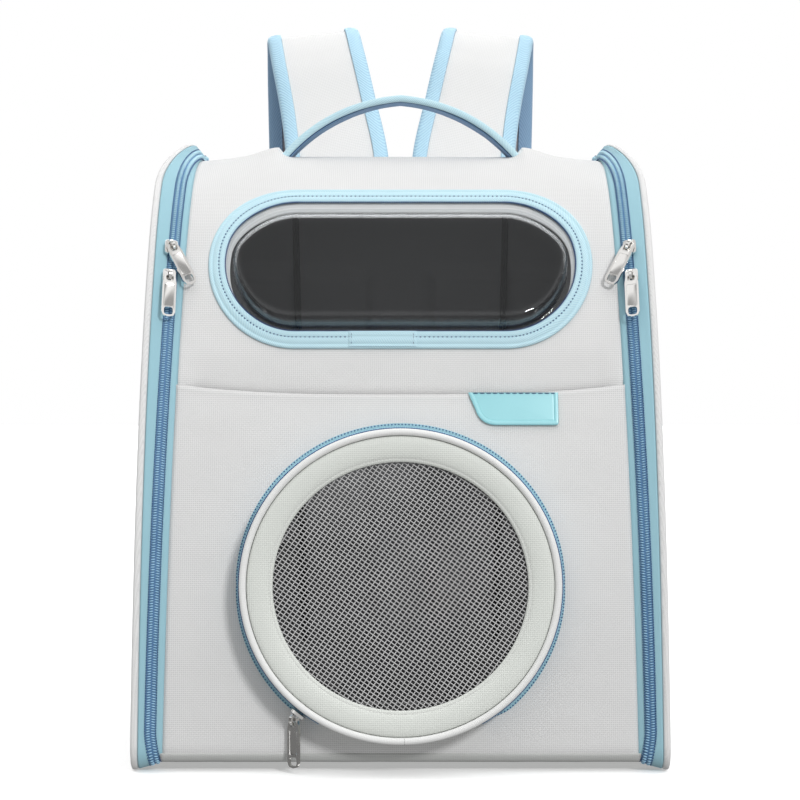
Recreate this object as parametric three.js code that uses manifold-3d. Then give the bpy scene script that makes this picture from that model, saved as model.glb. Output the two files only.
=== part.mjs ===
// A pet carrier backpack: a tall cloth cabin between two padded side boards, with a clear window,
// a round net door, long side zips, a carrying handle and two shoulder straps.
// Millimetres, +Z up. x runs to the bag's left seen from behind, d runs back from the front of the base.
import * as THREE from 'three';
import { mergeVertices } from 'three/addons/utils/BufferGeometryUtils.js';
import Module from 'manifold-3d';

const wasm = await Module();
wasm.setup();

// Driving dimensions
const GAP = 0.3;
const CABIN = {
  depth: 280, floor: 6, top: 440, brow: { d: 70, z: 361 }, crestD: 190, backRadius: 25, footRadius: 12,
};
const SIDE = { rim: 6, thick: 7.2, inner: 177.8, lean: 0.0135, bevel: 2.2 };
const FRONT = { half: 161.9, lean: 0.026, thick: 2.5, upperSet: -0.6, lip: 0.8, lipRise: 6 };
const SEAM = { centreZ: 256, endRise: 7 };
const HEM = { topZ: 12.5, thick: 2.5, proud: 0.4 };
const BACK = { thick: 5 };
const BASE = { thick: 3.5 };
const TAPE = { thick: 1.2, rimSet: 5.2 };
const CHAIN = { width: 7.2, thick: 1.8, start: 6 };
const WINDOW = { midS: 359.5, halfX: 135.4, halfS: 66.5, end: 62, hole: 10.5, flange: 5.3, rise: 13, wall: 1.2 };
const DOOR = {
  z: 126, tilt: 4, rx: 108.2, rz: 105.5, out: 25, flare: 1, wall: 2, pipe: 2.4, pipeSides: 6,
  ringOut: 5.2, ringIn: 22.5, netIn: 18, hole: 3.5, segments: 48, zipOpen: 30,
};
const DOOR_ZIP = { tape: 0.8, tapeFrom: 1, tapeTo: 13, chain: 1.2, chainFrom: 4, chainTo: 10 };
const LABEL = { x: 77.6, s: 249, width: 62, height: 23, thick: 0.9, border: 3, raise: 0.6, clear: 1.1 };
const HANDLE = { d: 175, half: 92, apexZ: 478, drop: 50, bend: { x: 58, drop: 5.2 }, width: 24, thick: 6 };
const SLIDER = { width: 9.2, length: 11, thick: 2, pivot: 1.7, bailIn: 2.6, bailOut: 4.2, bailWidth: 2 };
const PULL = { half: 4.9, head: 3.6, tail: 33, bar: 0.9, eyeHalf: 2.6, eyeEnd: 4.9, thick: 1.8, panel: 1 };
const SIDE_ZIPS = [
  { name: 'upper', z: 357, turn: 28 },
  { name: 'lower', z: 336, turn: 0 },
];
const DOOR_SLIDER = { angle: 38, face: 37, pivot: 3.4 };

// Shoulder strap: one row per section from its root on the back panel to its lower end
const STRAP_ROWS = [
  { d: 282.9, z: 400, x: 50, width: 82, thick: 5, roll: 7 },
  { d: 283.8, z: 420, x: 51, width: 82, thick: 6, roll: 9 },
  { d: 288.5, z: 448, x: 53, width: 82, thick: 7, roll: 10 },
  { d: 297, z: 490, x: 60, width: 79, thick: 8, roll: 9 },
  { d: 307, z: 528, x: 68, width: 75, thick: 8, roll: 8 },
  { d: 322, z: 548, x: 72, width: 72, thick: 8, roll: 6 },
  { d: 338, z: 537, x: 74, width: 71, thick: 8, roll: 4 },
  { d: 347, z: 500, x: 75, width: 71, thick: 8, roll: 0 },
  { d: 350, z: 420, x: 75, width: 71, thick: 8, roll: 0 },
  { d: 346, z: 330, x: 75, width: 70, thick: 8, roll: 0 },
  { d: 336, z: 250, x: 75, width: 58, thick: 8, roll: 0 },
  { d: 328, z: 212, x: 75, width: 38, thick: 6, roll: 0 },
];
const STRAP = { binding: 10.5, steps: 25, edgeThick: 0.5 };
const BUCKLE = { width: 36, height: 26, thick: 5, slotWidth: 27, slotHeight: 5 };
const WEBBING = { width: 25, thick: 1.5, steps: 14 };
const WEBBING_ROUTE = [
  { d: 320.6, z: 183.7, x: 76 }, { d: 310, z: 128, x: 88 }, { d: 293, z: 76, x: 108 },
  { d: 282.6, z: 44, x: 125 }, { d: 281.3, z: 28, x: 131 },
];

// Finishes
function finish(color, roughness, metalness = 0) {
  return new THREE.MeshStandardMaterial({ color, roughness, metalness });
}
const FINISH = {
  cloth: finish(0xe6e7e6, 0.9),
  hem: finish(0xa9adaa, 0.85),
  tape: finish(0x9bccd8, 0.8),
  chain: finish(0x5f92c2, 0.45),
  binding: finish(0xb2def0, 0.8),
  pane: finish(0x6b6d70, 0.08),
  net: finish(0x4b4b4d, 0.7),
  label: finish(0xa9e6ec, 0.6),
  metal: finish(0xc9c9c8, 0.25, 1),
  plastic: finish(0x9fc6d4, 0.5),
};

const carrier = new THREE.Group();

function place(name, geometry, material, frame) {
  const mesh = new THREE.Mesh(geometry, material);
  mesh.name = name;
  if (frame) mesh.applyMatrix4(frame);
  carrier.add(mesh);
}

// Closed bodies
function range(from, to, steps) {
  return Array.from({ length: steps + 1 }, (_, i) => from + (to - from) * i / steps);
}

function signedVolume(geometry) {
  const at = geometry.getAttribute('position');
  const order = geometry.getIndex().array;
  const [a, b, c] = [new THREE.Vector3(), new THREE.Vector3(), new THREE.Vector3()];
  let volume = 0;
  for (let i = 0; i < order.length; i += 3) {
    a.fromBufferAttribute(at, order[i]);
    b.fromBufferAttribute(at, order[i + 1]);
    c.fromBufferAttribute(at, order[i + 2]);
    volume += a.dot(b.cross(c)) / 6;
  }
  return volume;
}

function facingOut(geometry) {
  if (signedVolume(geometry) < 0) geometry.getIndex().array.reverse();
  geometry.computeVertexNormals();
  return geometry;
}

function body(points, faces) {
  const geometry = new THREE.BufferGeometry().setFromPoints(points);
  geometry.setIndex(faces);
  return facingOut(geometry);
}

function welded(geometry) {
  geometry.deleteAttribute('normal');
  geometry.deleteAttribute('uv');
  return facingOut(mergeVertices(geometry, 1e-4));
}

// A thick patch: at(u, v, w) gives the inner skin for w = 0 and the outer skin for w = 1
function slab(columns, rows, at) {
  const points = [0, 1].flatMap((w) => rows.flatMap((v) => columns.map((u) => at(u, v, w))));
  const id = (i, j, w) => (w * rows.length + j) * columns.length + i;
  const faces = [];
  const quad = (a, b, c, e) => faces.push(a, b, c, a, c, e);
  const endI = columns.length - 1;
  const endJ = rows.length - 1;
  for (let j = 0; j < endJ; j += 1) {
    for (let i = 0; i < endI; i += 1) {
      quad(id(i, j, 1), id(i + 1, j, 1), id(i + 1, j + 1, 1), id(i, j + 1, 1));
      quad(id(i, j, 0), id(i, j + 1, 0), id(i + 1, j + 1, 0), id(i + 1, j, 0));
    }
    quad(id(0, j, 1), id(0, j + 1, 1), id(0, j + 1, 0), id(0, j, 0));
    quad(id(endI, j + 1, 1), id(endI, j, 1), id(endI, j, 0), id(endI, j + 1, 0));
  }
  for (let i = 0; i < endI; i += 1) {
    quad(id(i, 0, 0), id(i + 1, 0, 0), id(i + 1, 0, 1), id(i, 0, 1));
    quad(id(i, endJ, 1), id(i + 1, endJ, 1), id(i + 1, endJ, 0), id(i, endJ, 0));
  }
  return body(points, faces);
}

// A ring whose section changes as it goes round
function hoop(sections) {
  const sides = sections[0].length;
  const id = (k, m) => (k % sections.length) * sides + (m % sides);
  const faces = [];
  for (let k = 0; k < sections.length; k += 1) {
    for (let m = 0; m < sides; m += 1) {
      faces.push(id(k, m), id(k + 1, m), id(k + 1, m + 1), id(k, m), id(k + 1, m + 1), id(k, m + 1));
    }
  }
  return body(sections.flat(), faces);
}

// A thick disc of any outline: rings run from the rim inwards, each with an outer and an inner skin
function disc(rings, centre) {
  const count = rings[0].outer.length;
  const id = (r, w, m) => (r * 2 + w) * count + (m % count);
  const points = rings.flatMap((ring) => [...ring.inner, ...ring.outer]);
  const middle = points.push(centre.inner, centre.outer) - 2;
  const last = rings.length - 1;
  const faces = [];
  for (let m = 0; m < count; m += 1) {
    for (let r = 0; r < last; r += 1) {
      faces.push(id(r, 1, m), id(r, 1, m + 1), id(r + 1, 1, m + 1));
      faces.push(id(r, 1, m), id(r + 1, 1, m + 1), id(r + 1, 1, m));
      faces.push(id(r, 0, m), id(r + 1, 0, m + 1), id(r, 0, m + 1));
      faces.push(id(r, 0, m), id(r + 1, 0, m), id(r + 1, 0, m + 1));
    }
    faces.push(id(last, 1, m), id(last, 1, m + 1), middle + 1);
    faces.push(id(last, 0, m), middle, id(last, 0, m + 1));
    faces.push(id(0, 1, m), id(0, 0, m), id(0, 0, m + 1));
    faces.push(id(0, 1, m), id(0, 0, m + 1), id(0, 1, m + 1));
  }
  return body(points, faces);
}

function solid(geometry) {
  const triVerts = new Uint32Array(geometry.getIndex().array);
  const vertProperties = new Float32Array(geometry.getAttribute('position').array);
  return new wasm.Manifold(new wasm.Mesh({ numProp: 3, vertProperties, triVerts }));
}

function meshed(manifold) {
  const { vertProperties, triVerts } = manifold.getMesh();
  const geometry = new THREE.BufferGeometry();
  geometry.setAttribute('position', new THREE.BufferAttribute(new Float32Array(vertProperties), 3));
  geometry.setIndex([...triVerts]);
  geometry.computeVertexNormals();
  return geometry;
}

function cut(geometry, tool) {
  return meshed(solid(geometry).subtract(solid(tool)));
}

function join(first, second) {
  return meshed(solid(first).add(solid(second)));
}

function extruded(shape, depth, options = {}) {
  const settings = { depth, bevelEnabled: false, curveSegments: 6, ...options };
  return welded(new THREE.ExtrudeGeometry(shape, settings));
}

// The cabin's side profile in (d, z): up the front, over the top, down the back and along the base
const profile = new THREE.Path();
profile.moveTo(CABIN.footRadius, CABIN.floor);
profile.quadraticCurveTo(0, CABIN.floor, 0, CABIN.floor + CABIN.footRadius);
profile.bezierCurveTo(0, 180, 30, 285, CABIN.brow.d, CABIN.brow.z);
profile.bezierCurveTo(CABIN.brow.d + 21, CABIN.brow.z + 40, 132, CABIN.top, CABIN.crestD, CABIN.top);
profile.lineTo(CABIN.depth - CABIN.backRadius, CABIN.top);
profile.quadraticCurveTo(CABIN.depth, CABIN.top, CABIN.depth, CABIN.top - CABIN.backRadius);
profile.lineTo(CABIN.depth, CABIN.floor + CABIN.footRadius);
profile.quadraticCurveTo(CABIN.depth, CABIN.floor, CABIN.depth - CABIN.footRadius, CABIN.floor);
profile.closePath();
const [FOOT_S, BROW_S, CREST_S, TOP_S, BACK_S, HEEL_S, UNDER_S, ROUND_S] = profile.getCurveLengths();

// The point at arc length s, moved outwards by offset, at the given x
function skin(x, s, offset = 0) {
  const p = profile.getPoint(s / ROUND_S);
  const t = profile.getTangent(s / ROUND_S);
  return new THREE.Vector3(x, p.x - t.y * offset, p.y + t.x * offset);
}

function along(s) {
  const t = profile.getTangent(s / ROUND_S);
  return new THREE.Vector3(0, t.x, t.y);
}

// Arc length of the height z on the front
function stationAt(z) {
  let low = 0;
  let high = CREST_S;
  for (let i = 0; i < 40; i += 1) {
    const middle = (low + high) / 2;
    if (skin(0, middle).z < z) low = middle;
    else high = middle;
  }
  return low;
}

const frontHalf = (z) => FRONT.half - FRONT.lean * z;
const sideInner = (z) => SIDE.inner - SIDE.lean * z;

function seamStation(x) {
  const share = Math.min(1, Math.abs(x) / frontHalf(SEAM.centreZ));
  return stationAt(SEAM.centreZ + SEAM.endRise * share ** 3);
}

// Padded side boards, standing proud of the cabin by their rim
const OUTLINE_S = [
  ...range(0, FOOT_S, 4), ...range(FOOT_S, BROW_S, 9).slice(1), ...range(BROW_S, CREST_S, 9).slice(1),
  ...range(TOP_S, BACK_S, 5), ...range(HEEL_S, UNDER_S, 4),
];

function sideBoard(side) {
  const rim = OUTLINE_S.map((s) => skin(0, s, SIDE.rim));
  const shape = new THREE.Shape(rim.map((p) => new THREE.Vector2(p.y, p.z)));
  const board = extruded(shape, SIDE.thick - 2 * SIDE.bevel, {
    bevelEnabled: true, bevelThickness: SIDE.bevel, bevelSize: SIDE.bevel, bevelOffset: -SIDE.bevel,
    bevelSegments: 2,
  });
  const at = board.getAttribute('position');
  for (let i = 0; i < at.count; i += 1) {
    const [d, z, through] = [at.getX(i), at.getY(i), at.getZ(i) + SIDE.bevel];
    at.setXYZ(i, side * (sideInner(z) + through), d, z);
  }
  return facingOut(board);
}

// Cloth walls between the boards
function wall(columns, rows, half, outer, thick) {
  return slab(columns, rows, (u, v, w) => {
    const s = typeof v === 'function' ? v(u) : v;
    const z = skin(0, s).z;
    return skin(u * half(z), s, (typeof outer === 'function' ? outer(s, u) : outer) - (1 - w) * thick);
  });
}

const innerHalf = (z) => sideInner(z) - GAP;
const seamAt = (u) => seamStation(u * frontHalf(SEAM.centreZ));
const between = (fromS, share, shift) => (u) => fromS + (seamAt(u) + shift - fromS) * share;
const beyond = (share, toS, shift) => (u) => seamAt(u) + shift + (toS - seamAt(u) - shift) * share;

function lowerFront() {
  const hemS = stationAt(HEM.topZ) + GAP;
  const rows = [...range(0, 0.96, 13), 0.985, 1].map((share) => between(hemS, share, -GAP / 2));
  const lipped = (s, u) => {
    const toSeam = seamAt(u) - s;
    return toSeam < FRONT.lipRise ? FRONT.lip * (1 - toSeam / FRONT.lipRise) : 0;
  };
  return wall(range(-1, 1, 6), rows, frontHalf, lipped, FRONT.thick);
}

function upperFront() {
  const rows = range(0, 1, 22).map((share) => beyond(share, TOP_S - GAP, GAP / 2));
  return wall(range(-1, 1, 6), rows, frontHalf, FRONT.upperSet, FRONT.thick);
}

function baseHem() {
  return wall([-1, 1], range(GAP, stationAt(HEM.topZ), 4), frontHalf, HEM.proud, HEM.thick);
}

function backPanel() {
  const rows = [...range(TOP_S + GAP, BACK_S, 5), ...range(HEEL_S, UNDER_S - GAP, 4)];
  return wall([-1, 0, 1], rows, innerHalf, 0, BACK.thick);
}

function basePanel() {
  return wall([-1, 1], [UNDER_S + GAP, ROUND_S - GAP], innerHalf, 0, BASE.thick);
}

// Long zips: tape and chain slope from the front's edge up to the board's rim
function tapeSection(side, s) {
  const z = skin(0, s).z;
  const low = skin(side * (frontHalf(z) + GAP), s, -TAPE.thick / 3);
  const high = skin(side * (sideInner(z) - GAP), s, TAPE.rimSet);
  const up = along(s);
  const across = high.clone().sub(low).normalize().multiplyScalar(side);
  const normal = across.clone().cross(up).normalize();
  return { low, high, up, normal, middle: low.clone().lerp(high, 0.5) };
}

function zipStations(start) {
  return [
    ...range(start, FOOT_S, 3), ...range(FOOT_S, BROW_S, 10).slice(1),
    ...range(BROW_S, CREST_S, 9).slice(1), TOP_S - GAP,
  ];
}

function zipTape(side) {
  return slab([0, 1], zipStations(GAP), (u, s, w) => {
    const { low, high, normal } = tapeSection(side, s);
    return low.lerp(high, u).addScaledVector(normal, (w - 0.5) * TAPE.thick);
  });
}

function zipChain(side) {
  return slab([-0.5, 0.5], zipStations(CHAIN.start), (u, s, w) => {
    const { low, high, normal, middle } = tapeSection(side, s);
    const across = high.sub(low).normalize();
    const lift = TAPE.thick / 2 + GAP + w * CHAIN.thick;
    return middle.addScaledVector(across, u * CHAIN.width).addScaledVector(normal, lift);
  });
}

// Zip slider and pull, both about the pull's pivot: x along the pivot, y up the zip, z outwards
const OUTWARD = new THREE.Matrix4().makeBasis(
  new THREE.Vector3(0, 1, 0), new THREE.Vector3(0, 0, 1), new THREE.Vector3(1, 0, 0),
);

function roundedShape(halfX, low, high, radius) {
  const shape = new THREE.Shape();
  shape.moveTo(-halfX + radius, low);
  shape.lineTo(halfX - radius, low);
  shape.quadraticCurveTo(halfX, low, halfX, low + radius);
  shape.lineTo(halfX, high - radius);
  shape.quadraticCurveTo(halfX, high, halfX - radius, high);
  shape.lineTo(-halfX + radius, high);
  shape.quadraticCurveTo(-halfX, high, -halfX, high - radius);
  shape.lineTo(-halfX, low + radius);
  shape.quadraticCurveTo(-halfX, low, -halfX + radius, low);
  return shape;
}

function sliderBody(bailFrame, pivot) {
  const plate = extruded(
    roundedShape(SLIDER.width / 2, -SLIDER.length / 2, SLIDER.length / 2, 2.5), SLIDER.thick, { curveSegments: 3 },
  ).translate(0, 0, -pivot - SLIDER.thick);
  const upright = new THREE.Vector3().setFromMatrixColumn(bailFrame, 2).z;
  const foot = -(pivot + SLIDER.thick / 2) / upright;
  const bail = new THREE.Shape();
  bail.moveTo(SLIDER.bailOut, foot);
  bail.absarc(0, 0, SLIDER.bailOut, 0, Math.PI, false);
  bail.lineTo(-SLIDER.bailOut, foot);
  bail.lineTo(-SLIDER.bailIn, foot);
  bail.absarc(0, 0, SLIDER.bailIn, Math.PI, 0, true);
  bail.lineTo(SLIDER.bailIn, foot);
  const arch = extruded(bail, SLIDER.bailWidth, { curveSegments: 6 }).translate(0, 0, -SLIDER.bailWidth / 2);
  return join(plate, arch.applyMatrix4(OUTWARD).applyMatrix4(bailFrame));
}

function pullTab() {
  const { half, head, tail, bar, eyeHalf, eyeEnd, thick, panel } = PULL;
  const outline = new THREE.Shape();
  outline.moveTo(-head, bar);
  outline.lineTo(-half, -eyeEnd - 2);
  outline.lineTo(-half, -tail + 4);
  outline.quadraticCurveTo(-half, -tail, 0, -tail);
  outline.quadraticCurveTo(half, -tail, half, -tail + 4);
  outline.lineTo(half, -eyeEnd - 2);
  outline.lineTo(head, bar);
  const slotTop = -tail + 7.5;
  const panelTop = -eyeEnd - 3;
  outline.holes.push(
    roundedShape(eyeHalf, -eyeEnd, -bar, 0.8),
    roundedShape(half - 1.4, slotTop + 1.2, panelTop, 1),
    roundedShape(half - 1.8, -tail + 1.6, slotTop, 1.8),
  );
  const frame = extruded(outline, thick, { curveSegments: 2 }).translate(0, 0, -thick / 2);
  const inset = roundedShape(half - 1, slotTop + 0.8, panelTop + 0.4, 1);
  return join(frame, extruded(inset, panel, { curveSegments: 1 }).translate(0, 0, -panel / 2));
}

function frameOf(origin, x, y, z) {
  return new THREE.Matrix4().makeBasis(x, y, z).setPosition(origin);
}

// The bail arches over the pull's bar and stands on the slider's face
function bailFrame(chainFrame, pullFrame) {
  const bar = new THREE.Vector3().setFromMatrixColumn(pullFrame, 0);
  const rise = new THREE.Vector3().setFromMatrixColumn(chainFrame, 2);
  rise.addScaledVector(bar, -rise.dot(bar)).normalize();
  const origin = new THREE.Vector3().setFromMatrixPosition(pullFrame);
  return frameOf(origin, bar, rise.clone().cross(bar), rise);
}

function zipSet(name, chainFrame, pullFrame, pivot) {
  const bail = chainFrame.clone().invert().multiply(bailFrame(chainFrame, pullFrame));
  place(name.replace('#', 'slider'), sliderBody(bail, pivot), FINISH.metal, chainFrame);
  place(name.replace('#', 'pull'), pullTab(), FINISH.metal, pullFrame);
}

const CHAIN_TO_PIVOT = TAPE.thick / 2 + CHAIN.thick + 2 * GAP + SLIDER.thick + SLIDER.pivot;

function sideZipSet(side, sideName, { name, z, turn }) {
  const { middle, up, normal } = tapeSection(side, stationAt(z));
  const pivot = middle.addScaledVector(normal, CHAIN_TO_PIVOT);
  const chainFrame = frameOf(pivot, up.clone().cross(normal), up, normal);
  const inward = new THREE.Matrix4().makeRotationZ(THREE.MathUtils.degToRad(-side * turn));
  zipSet(`zip_#_${name}_${sideName}`, chainFrame, chainFrame.clone().multiply(inward), SLIDER.pivot);
}

// Window: a clear dome in a twill binding, both laid on the curved front
const PILL_STEPS = 8;

function pill(inset, grow = 0) {
  const [halfX, halfS, end] = [WINDOW.halfX - inset + grow, WINDOW.halfS - inset, WINDOW.end - inset + grow];
  const quarter = range(0, Math.PI / 2, PILL_STEPS);
  const corner = quarter.map((a) => [halfX - end + end * Math.cos(a), halfS * Math.sin(a)]);
  const mirrored = [...corner].reverse().map(([x, s]) => [-x, s]);
  const upper = [...corner, ...mirrored];
  return [...upper, ...upper.map(([x, s]) => [-x, -s])];
}

function onFront(outline, offset) {
  return outline.map(([x, s]) => skin(x, WINDOW.midS + s, offset));
}

function windowHole() {
  const outline = pill(WINDOW.hole);
  const rim = { outer: onFront(outline, 4), inner: onFront(outline, -8) };
  return disc([rim], { outer: skin(0, WINDOW.midS, 4), inner: skin(0, WINDOW.midS, -8) });
}

function windowPane() {
  const seat = FRONT.upperSet + GAP;
  const steps = [
    { inset: WINDOW.flange, rise: 0 }, { inset: 13.5, rise: 0 }, { inset: 16, rise: 6.5 },
    { inset: 19, rise: 10.5 }, { inset: 24.5, rise: WINDOW.rise }, { inset: 45, rise: WINDOW.rise + 0.6 },
  ];
  const rings = steps.map(({ inset, rise }) => ({
    inner: onFront(pill(inset + (rise > 0 && rise < WINDOW.rise ? WINDOW.wall : 0)), seat + rise),
    outer: onFront(pill(inset), seat + rise + WINDOW.wall),
  }));
  const crown = seat + WINDOW.rise + 0.8;
  return disc(rings, {
    inner: skin(0, WINDOW.midS, crown), outer: skin(0, WINDOW.midS, crown + WINDOW.wall),
  });
}

function windowBinding() {
  const floor = FRONT.upperSet + GAP;
  const seat = floor + WINDOW.wall + GAP;
  const section = [
    { inset: 0, offset: floor }, { inset: 0, offset: floor + 1.4 }, { inset: 2, offset: seat + 1.2 },
    { inset: 9.5, offset: seat + 1.7 }, { inset: 11.5, offset: seat + 1 }, { inset: 11.5, offset: seat },
    { inset: WINDOW.flange - GAP, offset: seat }, { inset: WINDOW.flange - GAP, offset: floor },
  ];
  const loops = section.map(({ inset, offset }) => onFront(pill(inset), offset));
  return hoop(loops[0].map((_, k) => loops.map((loop) => loop[k])));
}

// Round door: a shallow drum standing off the lower front, measured in its own plane
const TILT = THREE.MathUtils.degToRad(DOOR.tilt);
const DOOR_D = skin(0, stationAt(DOOR.z)).y;

function doorPoint(x, up, out) {
  const d = DOOR_D + up * Math.sin(TILT) - out * Math.cos(TILT);
  return new THREE.Vector3(x, d, DOOR.z + up * Math.cos(TILT) + out * Math.sin(TILT));
}

// How far out the front lies at a place on the door's plane
function frontOut(x, up) {
  let out = 0;
  for (let i = 0; i < 6; i += 1) {
    const point = doorPoint(x, up, out);
    out += (point.y - skin(0, stationAt(point.z)).y) / Math.cos(TILT);
  }
  return out;
}

function oval(angle, inset, out) {
  return doorPoint((DOOR.rx - inset) * Math.cos(angle), (DOOR.rz - inset) * Math.sin(angle), out);
}

function ovalFoot(angle, inset) {
  return frontOut((DOOR.rx - inset) * Math.cos(angle), (DOOR.rz - inset) * Math.sin(angle));
}

const ROUND = range(0, 2 * Math.PI, DOOR.segments).slice(0, -1);

function doorWall() {
  const top = DOOR.out - 2 * GAP - DOOR.pipe;
  const sink = 1.4;
  return hoop(ROUND.map((angle) => {
    const foot = ovalFoot(angle, -DOOR.flare) + 2 * GAP;
    return [
      oval(angle, -DOOR.flare, foot), oval(angle, sink, top),
      oval(angle, sink + DOOR.wall, top), oval(angle, DOOR.wall - DOOR.flare, foot),
    ];
  }));
}

function doorPiping() {
  const turns = range(0, 2 * Math.PI, DOOR.pipeSides).slice(0, -1);
  return hoop(ROUND.map((angle) => turns.map((turn) => oval(
    angle, DOOR.pipe * (1 - Math.cos(turn)), DOOR.out + DOOR.pipe * Math.sin(turn) - GAP,
  ))));
}

function doorRing() {
  const low = DOOR.out - 3;
  const section = [
    { inset: DOOR.ringOut, out: low }, { inset: DOOR.ringOut, out: low + 2.6 }, { inset: 9, out: low + 4.2 },
    { inset: 16, out: low + 4 }, { inset: DOOR.ringIn, out: low + 2 }, { inset: DOOR.ringIn, out: low },
  ];
  return hoop(ROUND.map((angle) => section.map(({ inset, out }) => oval(angle, inset, out))));
}

function doorDisc(inset, low, high) {
  const rim = {
    inner: ROUND.map((angle) => oval(angle, inset, low)), outer: ROUND.map((angle) => oval(angle, inset, high)),
  };
  return disc([rim], { inner: doorPoint(0, 0, low), outer: doorPoint(0, 0, high) });
}

function doorNet() {
  const top = DOOR.out - 3 - GAP;
  return doorDisc(DOOR.netIn, top - 1, top);
}

const doorHole = () => doorDisc(DOOR.hole, -30, 20);

// The door's zip leaves the hinge at the bottom open
const DOOR_ARC = range(DOOR.zipOpen - 90, 270 - DOOR.zipOpen, 40).map(THREE.MathUtils.degToRad);

// The wall's outer face at a height above its foot, so that the zip lies on it
function wallInset(angle, height) {
  const foot = ovalFoot(angle, -DOOR.flare);
  const share = height / (DOOR.out - 2 * GAP - DOOR.pipe - foot);
  return { inset: -DOOR.flare + share * (1.4 + DOOR.flare), out: foot + height };
}

function doorBand(from, to, lift, thick) {
  return slab([from, to], DOOR_ARC, (height, angle, w) => {
    const { inset, out } = wallInset(angle, height);
    return oval(angle, inset - lift - w * thick, out);
  });
}

const doorZipTape = () => doorBand(DOOR_ZIP.tapeFrom, DOOR_ZIP.tapeTo, GAP, DOOR_ZIP.tape);
const doorZipChain = () => doorBand(
  DOOR_ZIP.chainFrom, DOOR_ZIP.chainTo, 2 * GAP + DOOR_ZIP.tape, DOOR_ZIP.chain,
);

function doorZipSet() {
  const angle = THREE.MathUtils.degToRad(270 - DOOR_SLIDER.angle);
  const { inset, out } = wallInset(angle, (DOOR_ZIP.chainFrom + DOOR_ZIP.chainTo) / 2);
  const lift = 3 * GAP + DOOR_ZIP.tape + DOOR_ZIP.chain + SLIDER.thick + DOOR_SLIDER.pivot;
  const pivot = oval(angle, inset - lift, out);
  const radial = oval(angle, -1, 0).sub(oval(angle, 0, 0)).normalize();
  const forward = doorPoint(0, 0, 1).sub(doorPoint(0, 0, 0));
  const chainFrame = frameOf(pivot, forward, radial.clone().cross(forward), radial);
  const face = THREE.MathUtils.degToRad(DOOR_SLIDER.face);
  const pullFrame = frameOf(
    pivot, new THREE.Vector3(Math.cos(face), -Math.sin(face), 0), new THREE.Vector3(0, 0, 1),
    new THREE.Vector3(-Math.sin(face), -Math.cos(face), 0),
  );
  zipSet('door_#', chainFrame, pullFrame, DOOR_SLIDER.pivot);
}

// Bare tab under the cross seam, with a raised border and one cut corner
function labelShape(inset) {
  const { width, height } = LABEL;
  const shape = new THREE.Shape();
  const floor = -height / 2 + inset;
  shape.moveTo(-width / 2 + inset * 1.2, height / 2 - inset);
  shape.lineTo(-width / 2 + 5 + inset, -height / 2 + 11);
  shape.quadraticCurveTo(-width / 2 + 8 + inset, floor, -width / 2 + 20, floor);
  shape.lineTo(width / 2 - inset - 2, floor);
  shape.quadraticCurveTo(width / 2 - inset, floor, width / 2 - inset, floor + 2);
  shape.lineTo(width / 2 - inset, height / 2 - inset);
  return shape;
}

function labelTab() {
  const border = labelShape(0);
  border.holes.push(labelShape(LABEL.border));
  const raised = extruded(border, LABEL.thick + LABEL.raise);
  return join(raised, extruded(labelShape(LABEL.border / 2), LABEL.thick));
}

function labelFrame() {
  const up = along(LABEL.s);
  const right = new THREE.Vector3(1, 0, 0);
  return frameOf(skin(LABEL.x, LABEL.s, LABEL.clear), right, up, right.clone().cross(up));
}

// Bands swept along a route: at each step a centre, a direction across and a normal
function band(steps, columns, station) {
  return slab(columns, range(0, 1, steps), (u, v, w) => {
    const { centre, across, normal, thick, shift } = station(v, u);
    return centre.addScaledVector(across, shift).addScaledVector(normal, (w - 0.5) * thick);
  });
}

// Carrying handle: folded webbing over the top, cut to the cloth at its feet
function handle() {
  const low = HANDLE.apexZ - HANDLE.drop;
  const bendZ = HANDLE.apexZ - HANDLE.bend.drop;
  const path = new THREE.Path();
  path.moveTo(-HANDLE.half, low);
  path.quadraticCurveTo(-HANDLE.bend.x, bendZ, 0, HANDLE.apexZ);
  path.quadraticCurveTo(HANDLE.bend.x, bendZ, HANDLE.half, low);
  const arch = band(20, [-1, -0.75, 0.75, 1], (v, u) => {
    const p = path.getPoint(v);
    const t = path.getTangent(v);
    return {
      centre: new THREE.Vector3(p.x, HANDLE.d, p.y), across: new THREE.Vector3(0, 1, 0),
      normal: new THREE.Vector3(-t.y, 0, t.x), shift: u * HANDLE.width / 2,
      thick: HANDLE.thick * (Math.abs(u) === 1 ? 0.5 : 1),
    };
  });
  const top = wall([-0.8, 0.8], range(CREST_S - 60, TOP_S, 8), frontHalf, FRONT.upperSet + GAP, 30);
  return cut(arch, top);
}

// Shoulder straps
function route(rows, side) {
  return new THREE.CatmullRomCurve3(rows.map(({ x, d, z }) => new THREE.Vector3(side * x, d, z)));
}

function rowValue(rows, key, v) {
  const place = v * (rows.length - 1);
  const i = Math.min(rows.length - 2, Math.floor(place));
  return THREE.MathUtils.lerp(rows[i][key], rows[i + 1][key], place - i);
}

function strapBand(side, inner, outer, columns) {
  const path = route(STRAP_ROWS, side);
  return band(STRAP.steps, columns, (v, u) => {
    const roll = -side * THREE.MathUtils.degToRad(rowValue(STRAP_ROWS, 'roll', v));
    const tangent = path.getTangent(v);
    const lean = new THREE.Vector3(Math.cos(roll), 0, Math.sin(roll));
    const across = lean.addScaledVector(tangent, -lean.dot(tangent)).normalize();
    const half = rowValue(STRAP_ROWS, 'width', v) / 2;
    const shift = THREE.MathUtils.lerp(inner(half), outer(half), u);
    const edge = Math.abs(shift) > half - STRAP.binding / 4 ? STRAP.edgeThick : 1;
    return {
      centre: path.getPoint(v), across, normal: tangent.clone().cross(across), shift,
      thick: rowValue(STRAP_ROWS, 'thick', v) * edge,
    };
  });
}

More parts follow.
